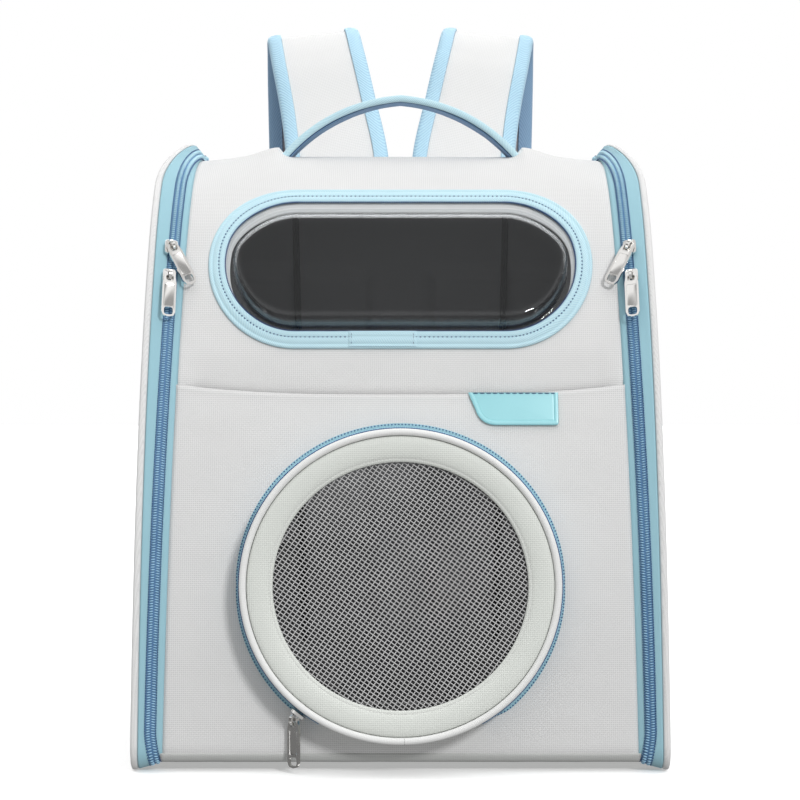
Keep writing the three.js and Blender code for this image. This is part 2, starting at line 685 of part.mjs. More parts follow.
function strapPieces(side, sideName) {
  const padEdge = (half) => half - STRAP.binding - 2 * GAP;
  const pad = strapBand(side, (half) => -padEdge(half), padEdge, [0, 0.5, 1]);
  place(`strap_${sideName}`, pad, FINISH.cloth);
  for (const [edgeName, edge] of [['outer', side], ['inner', -side]]) {
    const binding = strapBand(
      side, (half) => edge * (half - STRAP.binding), (half) => edge * half, [0, 0.7, 1],
    );
    place(`strap_binding_${edgeName}_${sideName}`, binding, FINISH.binding);
  }
  const path = route(STRAP_ROWS, side);
  const down = path.getTangent(1);
  const right = new THREE.Vector3(1, 0, 0);
  const middle = path.getPoint(1).addScaledVector(down, BUCKLE.height / 2 + GAP);
  const up = down.negate();
  const frame = frameOf(middle, right, up, right.clone().cross(up));
  const plate = roundedShape(BUCKLE.width / 2, -BUCKLE.height / 2, BUCKLE.height / 2, 3);
  for (const row of [-1, 1]) {
    const centre = row * BUCKLE.height / 4;
    plate.holes.push(
      roundedShape(BUCKLE.slotWidth / 2, centre - BUCKLE.slotHeight / 2, centre + BUCKLE.slotHeight / 2, 1),
    );
  }
  const buckle = extruded(plate, BUCKLE.thick, { curveSegments: 2 }).translate(0, 0, -BUCKLE.thick / 2);
  place(`strap_buckle_${sideName}`, buckle, FINISH.plastic, frame);
  place(`strap_webbing_${sideName}`, webbing(side), FINISH.binding);
}

function webbing(side) {
  const path = route(WEBBING_ROUTE, side);
  const right = new THREE.Vector3(1, 0, 0);
  return band(WEBBING.steps, [-0.5, 0.5], (v, u) => {
    const tangent = path.getTangent(v);
    const across = right.clone().addScaledVector(tangent, -tangent.x).normalize();
    return {
      centre: path.getPoint(v), across, normal: tangent.clone().cross(across),
      shift: u * WEBBING.width, thick: WEBBING.thick,
    };
  });
}

// Assembly
place('front_lower_panel', cut(lowerFront(), doorHole()), FINISH.cloth);
place('front_upper_panel', cut(upperFront(), windowHole()), FINISH.cloth);
place('base_hem', baseHem(), FINISH.hem);
place('back_panel', backPanel(), FINISH.cloth);
place('base_panel', basePanel(), FINISH.cloth);
place('window_pane', windowPane(), FINISH.pane);
place('window_binding', windowBinding(), FINISH.binding);
place('door_wall', doorWall(), FINISH.cloth);
place('door_piping', doorPiping(), FINISH.cloth);
place('door_ring', doorRing(), FINISH.cloth);
place('door_mesh', doorNet(), FINISH.net);
place('door_zip_tape', doorZipTape(), FINISH.tape);
place('door_zip_chain', doorZipChain(), FINISH.chain);
doorZipSet();
place('label_tab', labelTab(), FINISH.label, labelFrame());
place('handle', handle(), FINISH.binding);
for (const [side, sideName] of [[-1, 'left'], [1, 'right']]) {
  place(`side_panel_${sideName}`, sideBoard(side), FINISH.cloth);
  place(`zip_tape_${sideName}`, zipTape(side), FINISH.tape);
  place(`zip_chain_${sideName}`, zipChain(side), FINISH.chain);
  for (const zip of SIDE_ZIPS) sideZipSet(side, sideName, zip);
  strapPieces(side, sideName);
}

// The origin is the middle of the box's bottom
const box = new THREE.Box3().setFromObject(carrier);
const centre = box.getCenter(new THREE.Vector3());
carrier.position.set(-centre.x, -centre.y, -box.min.z);

export default carrier;
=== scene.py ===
"""Pet carrier backpack: the dressed part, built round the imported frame."""
import logging
import math
from bisect import bisect_right
from dataclasses import dataclass
from enum import Enum
from itertools import accumulate
from typing import Any, Callable, NamedTuple, Sequence, TypeAlias

import bmesh
import bpy
from mathutils import Matrix, Vector, noise


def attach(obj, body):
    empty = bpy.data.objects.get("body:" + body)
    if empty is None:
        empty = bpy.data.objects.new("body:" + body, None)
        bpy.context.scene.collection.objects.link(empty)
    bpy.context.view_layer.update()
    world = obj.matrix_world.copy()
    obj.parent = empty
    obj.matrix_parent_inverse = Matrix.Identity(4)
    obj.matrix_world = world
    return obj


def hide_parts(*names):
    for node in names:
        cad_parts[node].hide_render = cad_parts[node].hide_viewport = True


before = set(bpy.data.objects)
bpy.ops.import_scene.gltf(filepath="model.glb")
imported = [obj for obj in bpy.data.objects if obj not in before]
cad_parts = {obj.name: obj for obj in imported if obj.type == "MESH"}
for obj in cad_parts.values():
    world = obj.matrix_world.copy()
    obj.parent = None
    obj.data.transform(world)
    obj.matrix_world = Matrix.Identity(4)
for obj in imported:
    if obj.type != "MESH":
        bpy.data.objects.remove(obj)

LOG = logging.getLogger("carrier")
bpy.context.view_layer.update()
MM = 0.001
SHIFT_D = 162.508
GAP = 0.3
SIDES = ((-1, "left"), (1, "right"))
MERGE = 2e-6

Value: TypeAlias = "Socket | int | float"
Span = tuple[float, float]
Triple = tuple[float, float, float]
Colour = Triple
Place = Callable[[float, float], Vector]
Chart = Callable[[float, float], Span]
Path = Callable[[float], Vector]


class Space(Enum):
    """Where texture coordinates come from."""

    CLOTH = "UV"
    OBJECT = "Object"
    AROUND = "Generated"


class Body(Enum):
    """The bodies that pieces ride on."""

    CARRIER = "carrier"
    PULL_UPPER_LEFT = "pull_upper_left"
    PULL_LOWER_LEFT = "pull_lower_left"
    PULL_UPPER_RIGHT = "pull_upper_right"
    PULL_LOWER_RIGHT = "pull_lower_right"
    PULL_DOOR = "pull_door"


class Socket:
    """A node's output that can stand in a Python expression."""

    def __init__(self, shader: "Shader", output: Any) -> None:
        """Keeps the shader that the output belongs to."""
        self.shader = shader
        self.output = output

    def _math(self, operation: str, *values: Value) -> "Socket":
        """Adds one Math node for an operation on values."""
        inputs = dict(enumerate(values))
        return self.shader.node("Math", {"operation": operation}, inputs)

    def __add__(self, other: Value) -> "Socket":
        """Sum."""
        return self._math("ADD", self, other)

    __radd__ = __add__

    def __mul__(self, other: Value) -> "Socket":
        """Product."""
        return self._math("MULTIPLY", self, other)

    __rmul__ = __mul__

    def __sub__(self, other: Value) -> "Socket":
        """Difference."""
        return self._math("SUBTRACT", self, other)

    def __rsub__(self, other: Value) -> "Socket":
        """Difference from a number."""
        return self._math("SUBTRACT", other, self)

    def __truediv__(self, other: Value) -> "Socket":
        """Quotient."""
        return self._math("DIVIDE", self, other)

    def __pow__(self, other: Value) -> "Socket":
        """Power."""
        return self._math("POWER", self, other)

    def __abs__(self) -> "Socket":
        """Absolute value."""
        return self._math("ABSOLUTE", self)

    def sine(self) -> "Socket":
        """Sine of an angle in radians."""
        return self._math("SINE", self)

    def floor(self) -> "Socket":
        """Whole number below."""
        return self._math("FLOOR", self)

    def fraction(self) -> "Socket":
        """Part after the point."""
        return self._math("FRACT", self)

    def largest(self, other: Value) -> "Socket":
        """The larger of two values."""
        return self._math("MAXIMUM", self, other)

    def ramp(self, low: float, high: float) -> "Socket":
        """A smooth step from 0 at low to 1 at high."""
        inputs = {"Value": self, "From Min": low, "From Max": high}
        return self.shader.node("MapRange", {"interpolation_type": "SMOOTHSTEP"}, inputs)


class Shader:
    """One node tree, written as expressions."""

    def __init__(self, owner: bpy.types.Material | bpy.types.World) -> None:
        """Takes the owner's tree and the shader that it starts with.

        Args:
            owner: The material or world.
        """
        owner.use_nodes = True
        self.tree = owner.node_tree
        self.surface = next(node for node in self.tree.nodes if node.outputs)

    def node(self, kind: str, settings: dict[str, Any], inputs: dict[Any, Any], output: int | str = 0) -> Socket:
        """Adds any node.

        Args:
            kind: The node's type without its prefix.
            settings: Properties, set before the sockets.
            inputs: Values or sockets by input name or number.
            output: The output to hand back.

        Returns:
            The named output, ready for an expression.
        """
        made = self.tree.nodes.new("ShaderNode" + kind)
        for key, value in settings.items():
            setattr(made, key, value)
        for key, value in inputs.items():
            self._feed(made.inputs[key], value)
        return Socket(self, made.outputs[output])

    def _feed(self, target: Any, value: Any) -> None:
        """Links a socket or sets a constant.

        Args:
            target: The input.
            value: A socket, number or tuple.
        """
        if isinstance(value, Socket):
            self.tree.links.new(value.output, target)
        elif isinstance(value, tuple) and target.type == "RGBA":
            target.default_value = (*value, 1.0)
        else:
            target.default_value = value

    def coords(self, space: Space) -> tuple[Socket, Socket, Socket, Socket]:
        """Texture coordinates: the vector and its three parts."""
        vector = self.node("TexCoord", {}, {}, space.value)
        return (vector, *[self.node("SeparateXYZ", {}, {0: vector}, axis) for axis in "XYZ"])

    def speckle(self, vector: Socket, scale: float, detail: float = 2.0, rough: float = 0.5) -> Socket:
        """Noise about 0.5 at a scale in turns per metre."""
        inputs = {"Vector": vector, "Scale": scale, "Detail": detail, "Roughness": rough}
        return self.node("TexNoise", {}, inputs)

    def blend(self, factor: Value, first: Any, second: Any) -> Socket:
        """A colour between two colours."""
        inputs = {0: factor, 6: first, 7: second}
        return self.node("Mix", {"data_type": "RGBA"}, inputs, 2)

    def relief(self, height: Socket, distance: float, strength: float = 1.0) -> None:
        """Feeds a height to the normal, with its depth in metres."""
        inputs = {"Height": height, "Distance": distance, "Strength": strength}
        self._feed(self.surface.inputs["Normal"], self.node("Bump", {}, inputs))

    def dress(self, **values: Any) -> None:
        """Sets or links inputs of the first shader, with _ for a space in a name."""
        for key, value in values.items():
            self._feed(self.surface.inputs[key.replace("_", " ")], value)

    def close(self, shader: Socket) -> None:
        """Feeds a shader to the tree's end in place of the first one."""
        self._feed(self.tree.get_output_node("ALL").inputs["Surface"], shader)


class Finish:
    """A finish that makes its material once."""

    name: str

    def paint(self, shader: Shader) -> None:
        """Writes the nodes of the material."""
        raise NotImplementedError

    def material(self) -> bpy.types.Material:
        """The finish's material, made when first asked for.

        Returns:
            The material.
        """
        made = bpy.data.materials.get(self.name)
        if made is None:
            made = bpy.data.materials.new(self.name)
            self.paint(Shader(made))
        return made


@dataclass(frozen=True)
class Woven(Finish):
    """Plain woven cloth, its threads along the piece's UV map in metres."""

    name: str
    colour: Colour
    gap_colour: Colour
    pitch: float = 0.0014
    depth: float = 0.00012
    gap_share: float = 0.35
    rough: float = 0.85
    sheen: float = 0.15
    mottle: float = 0.05

    def paint(self, shader: Shader) -> None:
        """Threads that pass over and under, with slubs and soft mottling.

        Args:
            shader: The material's tree.
        """
        vector, u, v, _ = shader.coords(Space.CLOTH)
        slub = shader.speckle(vector, 0.22 / self.pitch, 3.0) - 0.5
        across = u / self.pitch + slub * 0.25
        along = v / self.pitch + slub * 0.25
        over = ((across.floor() + along.floor()) / 2).fraction() * 2
        warp = abs((across * math.pi).sine()) * (0.55 + over * 0.45)
        weft = abs((along * math.pi).sine()) * (1 - over * 0.45)
        height = (warp * 0.78).largest(weft)
        thread = height.ramp(0.1, 0.8)
        mottle = (shader.speckle(vector, 28.0, 4.0, 0.6) - 0.5) * (2 * self.mottle)
        fuzz = shader.speckle(vector, 2600.0, 2.0) - 0.5
        shade = (1 - self.gap_share) + thread * self.gap_share + mottle + fuzz * 0.06
        shader.dress(
            Base_Color=shader.blend(shade, self.gap_colour, self.colour),
            Roughness=self.rough - thread * 0.08 + fuzz * 0.1,
            Sheen_Weight=self.sheen, Sheen_Roughness=0.5, Specular_IOR_Level=0.25,
        )
        shader.relief(height + fuzz * 0.3, self.depth)


@dataclass(frozen=True)
class Twill(Finish):
    """Ribbed tape or webbing with slanting ribs along the piece's UV map."""

    name: str
    colour: Colour
    gap_colour: Colour
    rib: float = 0.0011
    slant: float = 1.0
    depth: float = 0.00014
    gap_share: float = 0.5
    rough: float = 0.72
    sheen: float = 0.2

    def paint(self, shader: Shader) -> None:
        """Slanting ribs crossed by fine threads.

        Args:
            shader: The material's tree.
        """
        vector, u, v, _ = shader.coords(Space.CLOTH)
        wobble = shader.speckle(vector, 0.12 / self.rib, 2.0) - 0.5
        phase = (u + v * self.slant) / self.rib + wobble * 0.5
        rib = abs((phase * math.pi).sine())
        cross = abs(((v - u * 0.35) / (self.rib * 0.8) * math.pi).sine())
        height = rib * (0.72 + cross * 0.28)
        fuzz = shader.speckle(vector, 2400.0, 2.0) - 0.5
        mottle = (shader.speckle(vector, 35.0, 3.0) - 0.5) * 0.14
        shade = (1 - self.gap_share) + height.ramp(0.05, 0.85) * self.gap_share + mottle + fuzz * 0.1
        shader.dress(
            Base_Color=shader.blend(shade, self.gap_colour, self.colour),
            Roughness=self.rough + fuzz * 0.14,
            Sheen_Weight=self.sheen, Sheen_Roughness=0.45, Specular_IOR_Level=0.3,
        )
        shader.relief(height + fuzz * 0.25, self.depth)


@dataclass(frozen=True)
class Moulded(Finish):
    """Moulded plastic or rubber with a fine grain."""

    name: str
    colour: Colour
    low_colour: Colour
    rough: float = 0.45
    grain: float = 900.0
    depth: float = 0.00003
    coat: float = 0.0

    def paint(self, shader: Shader) -> None:
        """Grain, soft clouding and a roughness that follows it.

        Args:
            shader: The material's tree.
        """
        vector, _, _, _ = shader.coords(Space.OBJECT)
        grain = shader.speckle(vector, self.grain, 3.0, 0.6)
        cloud = shader.speckle(vector, 45.0, 3.0)
        shade = cloud.ramp(0.25, 0.75) * 0.6 + grain * 0.4
        shader.dress(
            Base_Color=shader.blend(shade, self.low_colour, self.colour),
            Roughness=self.rough + (grain - 0.5) * 0.18,
            Coat_Weight=self.coat, Coat_Roughness=0.15,
        )
        shader.relief(grain, self.depth)


@dataclass(frozen=True)
class Plated(Finish):
    """Polished nickel plate with faint rub marks."""

    name: str
    colour: Colour
    rough: float = 0.16

    def paint(self, shader: Shader) -> None:
        """Metal whose polish varies in streaks.

        Args:
            shader: The material's tree.
        """
        vector, _, _, _ = shader.coords(Space.OBJECT)
        stretched = shader.node("Mapping", {}, {"Vector": vector, "Scale": (1.0, 1.0, 0.12)})
        rub = shader.speckle(stretched, 2200.0, 3.0, 0.65)
        cloud = shader.speckle(vector, 160.0, 2.0)
        tint = tuple(channel * 0.78 for channel in self.colour)
        shader.dress(
            Base_Color=shader.blend(cloud.ramp(0.2, 0.7), tint, self.colour),
            Roughness=self.rough + (rub - 0.5) * 0.16 + (cloud - 0.5) * 0.1,
            Metallic=1.0,
        )
        shader.relief(rub, 0.00001, 0.6)


@dataclass(frozen=True)
class ClearPane(Finish):
    """Clear glossy sheet plastic, very slightly rippled."""

    name: str
    colour: Colour = (0.93, 0.95, 0.96)
    clear_colour: Colour = (0.95, 0.96, 0.965)

    def paint(self, shader: Shader) -> None:
        """Clear body under a gloss that grows at a slant and ripples faintly.

        Args:
            shader: The material's tree.
        """
        vector, _, _, _ = shader.coords(Space.OBJECT)
        ripple = shader.speckle(vector, 12.0, 1.0)
        scuff = shader.speckle(vector, 320.0, 4.0, 0.7)
        shader.dress(
            Base_Color=shader.blend(scuff.ramp(0.3, 0.8), self.colour, (0.97, 0.975, 0.98)),
            Roughness=0.02 + scuff.ramp(0.55, 0.95) * 0.05,
            Metallic=1.0,
        )
        shader.relief(ripple, 0.0003, 0.2)
        body = shader.node("BsdfTransparent", {}, {"Color": self.clear_colour})
        slant = shader.node("LayerWeight", {}, {"Blend": 0.5}, "Facing")
        gloss = slant ** 2.5 * 0.8 + 0.026
        shader.close(shader.node("MixShader", {}, {0: gloss, 1: body, 2: Socket(shader, shader.surface.outputs[0])}))


@dataclass(frozen=True)
class Ground(Finish):
    """White studio floor, lit from below so that shadows stay pale."""

    name: str
    glow: float = 0.22

    def paint(self, shader: Shader) -> None:
        """White, with an even glow."""
        shader.dress(Base_Color=(1.0, 1.0, 1.0), Roughness=0.9)
        shader.dress(Emission_Color=(1.0, 1.0, 1.0), Emission_Strength=self.glow)


class Cloths:
    """The finishes of the bag, named for where they are used."""

    CANVAS = Woven("canvas_white", (0.76, 0.76, 0.757), (0.38, 0.38, 0.38), gap_share=0.5)
    # The boards' canvas is the front's cloth painted lighter, to offset the shade on their turned rims: painted
    # light.
    LIT_BOARD_CANVAS = Woven("canvas_board_painted_light", (0.81, 0.81, 0.807), (0.43, 0.43, 0.43), gap_share=0.5)
    # The straps' canvas is the front's cloth painted lighter: painted light from above.
    LIT_STRAP_CANVAS = Woven("canvas_strap_painted_light", (0.87, 0.87, 0.865), (0.55, 0.55, 0.55), gap_share=0.45)
    DOOR_CANVAS = Woven("canvas_door", (0.76, 0.785, 0.745), (0.40, 0.42, 0.39), gap_share=0.5)
    PIPING = Woven("canvas_piping", (0.84, 0.845, 0.835), (0.55, 0.56, 0.55), pitch=0.0011, depth=0.00006)
    # The lining's dark grey is partly its own colour and partly painted shade of the closed cabin.
    LINING = Woven(
        "lining_dark_and_shade", (0.15, 0.15, 0.155), (0.11, 0.11, 0.114),
        pitch=0.0012, depth=0.00002, gap_share=0.15, rough=0.9,
    )
    SEAM = Woven("lining_seam", (0.03, 0.03, 0.032), (0.02, 0.02, 0.021), pitch=0.0012, rough=0.95)
    STRAP_LINING = Woven("lining_mauve", (0.40, 0.375, 0.40), (0.17, 0.16, 0.18), pitch=0.0024, depth=0.0004)
    # The hem's grey is partly the cloth's own and partly painted shade for the lip that faces down.
    HEM = Woven("hem_grey_and_shade", (0.58, 0.59, 0.575), (0.32, 0.325, 0.32), pitch=0.0012)
    TAPE = Twill(
        "zip_tape_teal", (0.345, 0.575, 0.655), (0.225, 0.45, 0.545), rib=0.0009, depth=0.00006, gap_share=0.4,
    )
    BINDING = Twill("binding_sky", (0.61, 0.83, 0.89), (0.27, 0.51, 0.68), rib=0.0017, depth=0.0002, gap_share=0.6)
    STRAP_BINDING = Twill(
        "binding_strap", (0.54, 0.79, 0.93), (0.27, 0.50, 0.72), rib=0.002, slant=0.7, depth=0.0002, gap_share=0.55,
    )
    # The binding's lining side is the same band painted darker, as painted shade.
    SHADED_UNDER_BINDING = Twill("binding_under_painted_shade", (0.28, 0.44, 0.62), (0.13, 0.24, 0.42), rib=0.0021)
    WEBBING = Twill("webbing_blue", (0.36, 0.58, 0.78), (0.16, 0.30, 0.52), rib=0.0016)
    # The fold is the handle's webbing painted darker, as painted shade on its underside.
    SHADED_FOLD = Twill("webbing_fold_painted_shade", (0.17, 0.31, 0.50), (0.06, 0.13, 0.28), rib=0.0016)
    COIL = Moulded("coil_blue", (0.40, 0.64, 0.80), (0.29, 0.52, 0.70), rough=0.35)
    UPPER_COIL = Moulded("coil_pale", (0.54, 0.79, 0.88), (0.42, 0.68, 0.80), rough=0.35)
    # The coil bed is painted dark navy as the shade between and under the coils.
    SHADE_BED = Moulded("coil_bed_painted_shade", (0.11, 0.24, 0.42), (0.07, 0.17, 0.32), rough=0.7)
    THREAD = Moulded("thread_navy", (0.035, 0.095, 0.27), (0.02, 0.06, 0.19), rough=0.6)
    PALE_THREAD = Moulded("thread_pale", (0.70, 0.70, 0.69), (0.58, 0.58, 0.57), rough=0.6)
    SKY_THREAD = Moulded("thread_sky", (0.05, 0.12, 0.26), (0.03, 0.08, 0.18), rough=0.6)
    NET = Moulded("net_grey", (0.61, 0.61, 0.61), (0.47, 0.47, 0.47), rough=0.5)
    LABEL = Moulded("label_cyan", (0.335, 0.69, 0.745), (0.31, 0.655, 0.71), rough=0.4, coat=0.15)
    NICKEL = Plated("nickel", (0.75, 0.75, 0.73))
    BUCKLE = Moulded("buckle_grey", (0.10, 0.105, 0.11), (0.07, 0.07, 0.075), rough=0.4)
    PANE = ClearPane("pane_clear")


def mm(x: float, d: float, z: float) -> Vector:
    """A point in the frame from millimetres, d measured back from the front's foot."""
    return Vector((x, d - SHIFT_D, z)) * MM


def mixed(low: float, high: float, share: float) -> float:
    """The number a share of the way from low to high."""
    return low + (high - low) * share


def step(low: float, high: float, value: float) -> float:
    """A smooth step from 0 at low to 1 at high."""
    share = min(1.0, max(0.0, (value - low) / (high - low)))
    return share * share * (3 - 2 * share)


class Run:
    """A smooth curve through points of any number of values, centripetal as in the solids."""

    def __init__(self, points: Sequence[Sequence[float]]) -> None:
        """Adds a mirrored point beyond each end.

        Args:
            points: The points in order.
        """
        rows = [Vector(point) for point in points]
        self.rows = [2 * rows[0] - rows[1], *rows, 2 * rows[-1] - rows[-2]]
        self.last = len(rows) - 1

    def at(self, share: float) -> Vector:
        """The point at a share of the rows, 0 to 1.

        Args:
            share: How far along.

        Returns:
            The point.
        """
        place = min(max(share, 0.0), 1.0) * self.last
        first = min(int(place), self.last - 1)
        a, b, c, d = self.rows[first:first + 4]
        near, gap, far = (max((q - p).length, 1e-9) ** 0.5 for p, q in ((a, b), (b, c), (c, d)))
        leave = ((b - a) / near - (c - a) / (near + gap) + (c - b) / gap) * gap
        arrive = ((c - b) / gap - (d - b) / (gap + far) + (d - c) / far) * gap
        t = place - first
        return (
            b + leave * t + (3 * (c - b) - 2 * leave - arrive) * t * t
            + (2 * (b - c) + leave + arrive) * t * t * t
        )

    def tangent(self, share: float) -> Vector:
        """The direction at a share of the rows."""
        low, high = max(0.0, share - 1e-4), min(1.0, share + 1e-4)
        return (self.at(high) - self.at(low)).normalized()

    def length(self, steps: int = 200) -> float:
        """The curve's length in its own units."""
        points = [self.at(k / steps) for k in range(steps + 1)]
        return sum((b - a).length for a, b in zip(points, points[1:]))


def bezier(corners: Sequence[Span], t: float) -> Vector:
    """A point of a curve of any degree.

    Args:
        corners: Control points.
        t: Share along.

    Returns:
        The point.
    """
    points = [Vector(corner) for corner in corners]
    while len(points) > 1:
        points = [a.lerp(b, t) for a, b in zip(points, points[1:])]
    return points[0]


class Skin:
    """The cabin's side profile by arc length: up the front, over the top, down the back and along the base."""

    CREST = 524.2
    TOP = 589.2
    BACK = 629.8
    HEEL = 1026.8
    UNDER = 1046.3
    ROUND = 1302.3
    CORNERS = (
        ((12, 6), (0, 6), (0, 18)),
        ((0, 18), (0, 180), (30, 285), (70, 361)),
        ((70, 361), (91, 401), (132, 440), (190, 440)),
        ((190, 440), (255, 440)),
        ((255, 440), (280, 440), (280, 415)),
        ((280, 415), (280, 18)),
        ((280, 18), (280, 6), (268, 6)),
        ((268, 6), (12, 6)),
    )
    STEPS = 240

    def __init__(self) -> None:
        """Samples the profile's curves once."""
        self.stations = [0.0]
        self.places = [Vector(self.CORNERS[0][0])]
        for corners in self.CORNERS:
            for k in range(1, self.STEPS + 1):
                point = bezier(corners, k / self.STEPS)
                self.stations.append(self.stations[-1] + (point - self.places[-1]).length)
                self.places.append(point)

    def at(self, s: float) -> tuple[float, float, float, float]:
        """Depth, height and outward direction at an arc length.

        Args:
            s: Arc length in millimetres.

        Returns:
            d, z and the direction's two parts.
        """
        s = min(max(s, 0.0), self.stations[-1] - 1e-6)
        k = min(bisect_right(self.stations, s), len(self.stations) - 1)
        low, high = self.places[k - 1], self.places[k]
        span = self.stations[k] - self.stations[k - 1]
        point = low.lerp(high, (s - self.stations[k - 1]) / span)
        before = self.places[max(k - 3, 0)]
        after = self.places[min(k + 2, len(self.places) - 1)]
        t = (after - before).normalized()
        return point.x, point.y, -t.y, t.x

    def point(self, x: float, s: float, offset: float = 0.0) -> Vector:
        """A point on the skin in the frame, moved outwards by an offset."""
        d, z, nd, nz = self.at(s)
        return mm(x, d + nd * offset, z + nz * offset)

    def height(self, s: float) -> float:
        """Height at an arc length."""
        return self.at(s)[1]

    def station(self, z: float) -> float:
        """Arc length of a height on the front.

        Args:
            z: Height in millimetres.

        Returns:
            The arc length.
        """
        low, high = 0.0, self.CREST
        for _ in range(32):
            middle = (low + high) / 2
            low, high = (middle, high) if self.height(middle) < z else (low, middle)
        return low


SKIN = Skin()


# Half widths at the foot, and how much each narrows for a millimetre of height.
FRONT_HALF, FRONT_TAPER = 161.9, 0.026
BOARD_HALF, BOARD_TAPER = 177.8, 0.0135
# How far the boards curl in at the top, over which height, and where that starts and ends.
CURL, CURL_SPAN, CURL_FROM, CURL_TOP = 17.0, 38.0, 408.0, 447.0
CORNER_DIP = 5.5


def front_half(z: float) -> float:
    """Half the front's width at a height."""
    return FRONT_HALF - FRONT_TAPER * z


def side_inner(z: float) -> float:
    """Half the space between the side boards at a height: the boards curl inwards at the top."""
    return BOARD_HALF - BOARD_TAPER * z - CURL * (max(0.0, min(z, CURL_TOP) - CURL_FROM) / CURL_SPAN) ** 2


def corner_dip(s: float, share: float) -> float:
    """How far the top cloth sinks towards its corners, in millimetres."""
    along = step(425.0, 505.0, s) * (1 - 0.8 * step(556.0, 588.0, s))
    return CORNER_DIP * step(0.6, 1.0, abs(share)) * along


def ripple(x: float, y: float, wave: float, seed: float) -> float:
    """Seeded smooth noise, about -1 to 1, over a wavelength in millimetres."""
    return noise.noise(Vector((x / wave, y / wave, seed)))


def charted(spot: Callable[[float, float], Sequence[float]]) -> Chart:
    """A chart in metres from the first two values of a spot in millimetres."""
    return lambda u, v: tuple(value * MM for value in spot(u, v)[:2])


def lengths(rows: Sequence[Span]) -> list[float]:
    """How far along a section each of its corners lies."""
    return list(accumulate((math.dist(a, b) for a, b in zip(rows, rows[1:])), initial=0.0))


def added(name: str, data: bpy.types.ID) -> bpy.types.Object:
    """A new object in the scene.

    Args:
        name: Its name.
        data: Its mesh, light or camera.

    Returns:
        The object.
    """
    made = bpy.data.objects.new(name, data)
    bpy.context.scene.collection.objects.link(made)
    return made


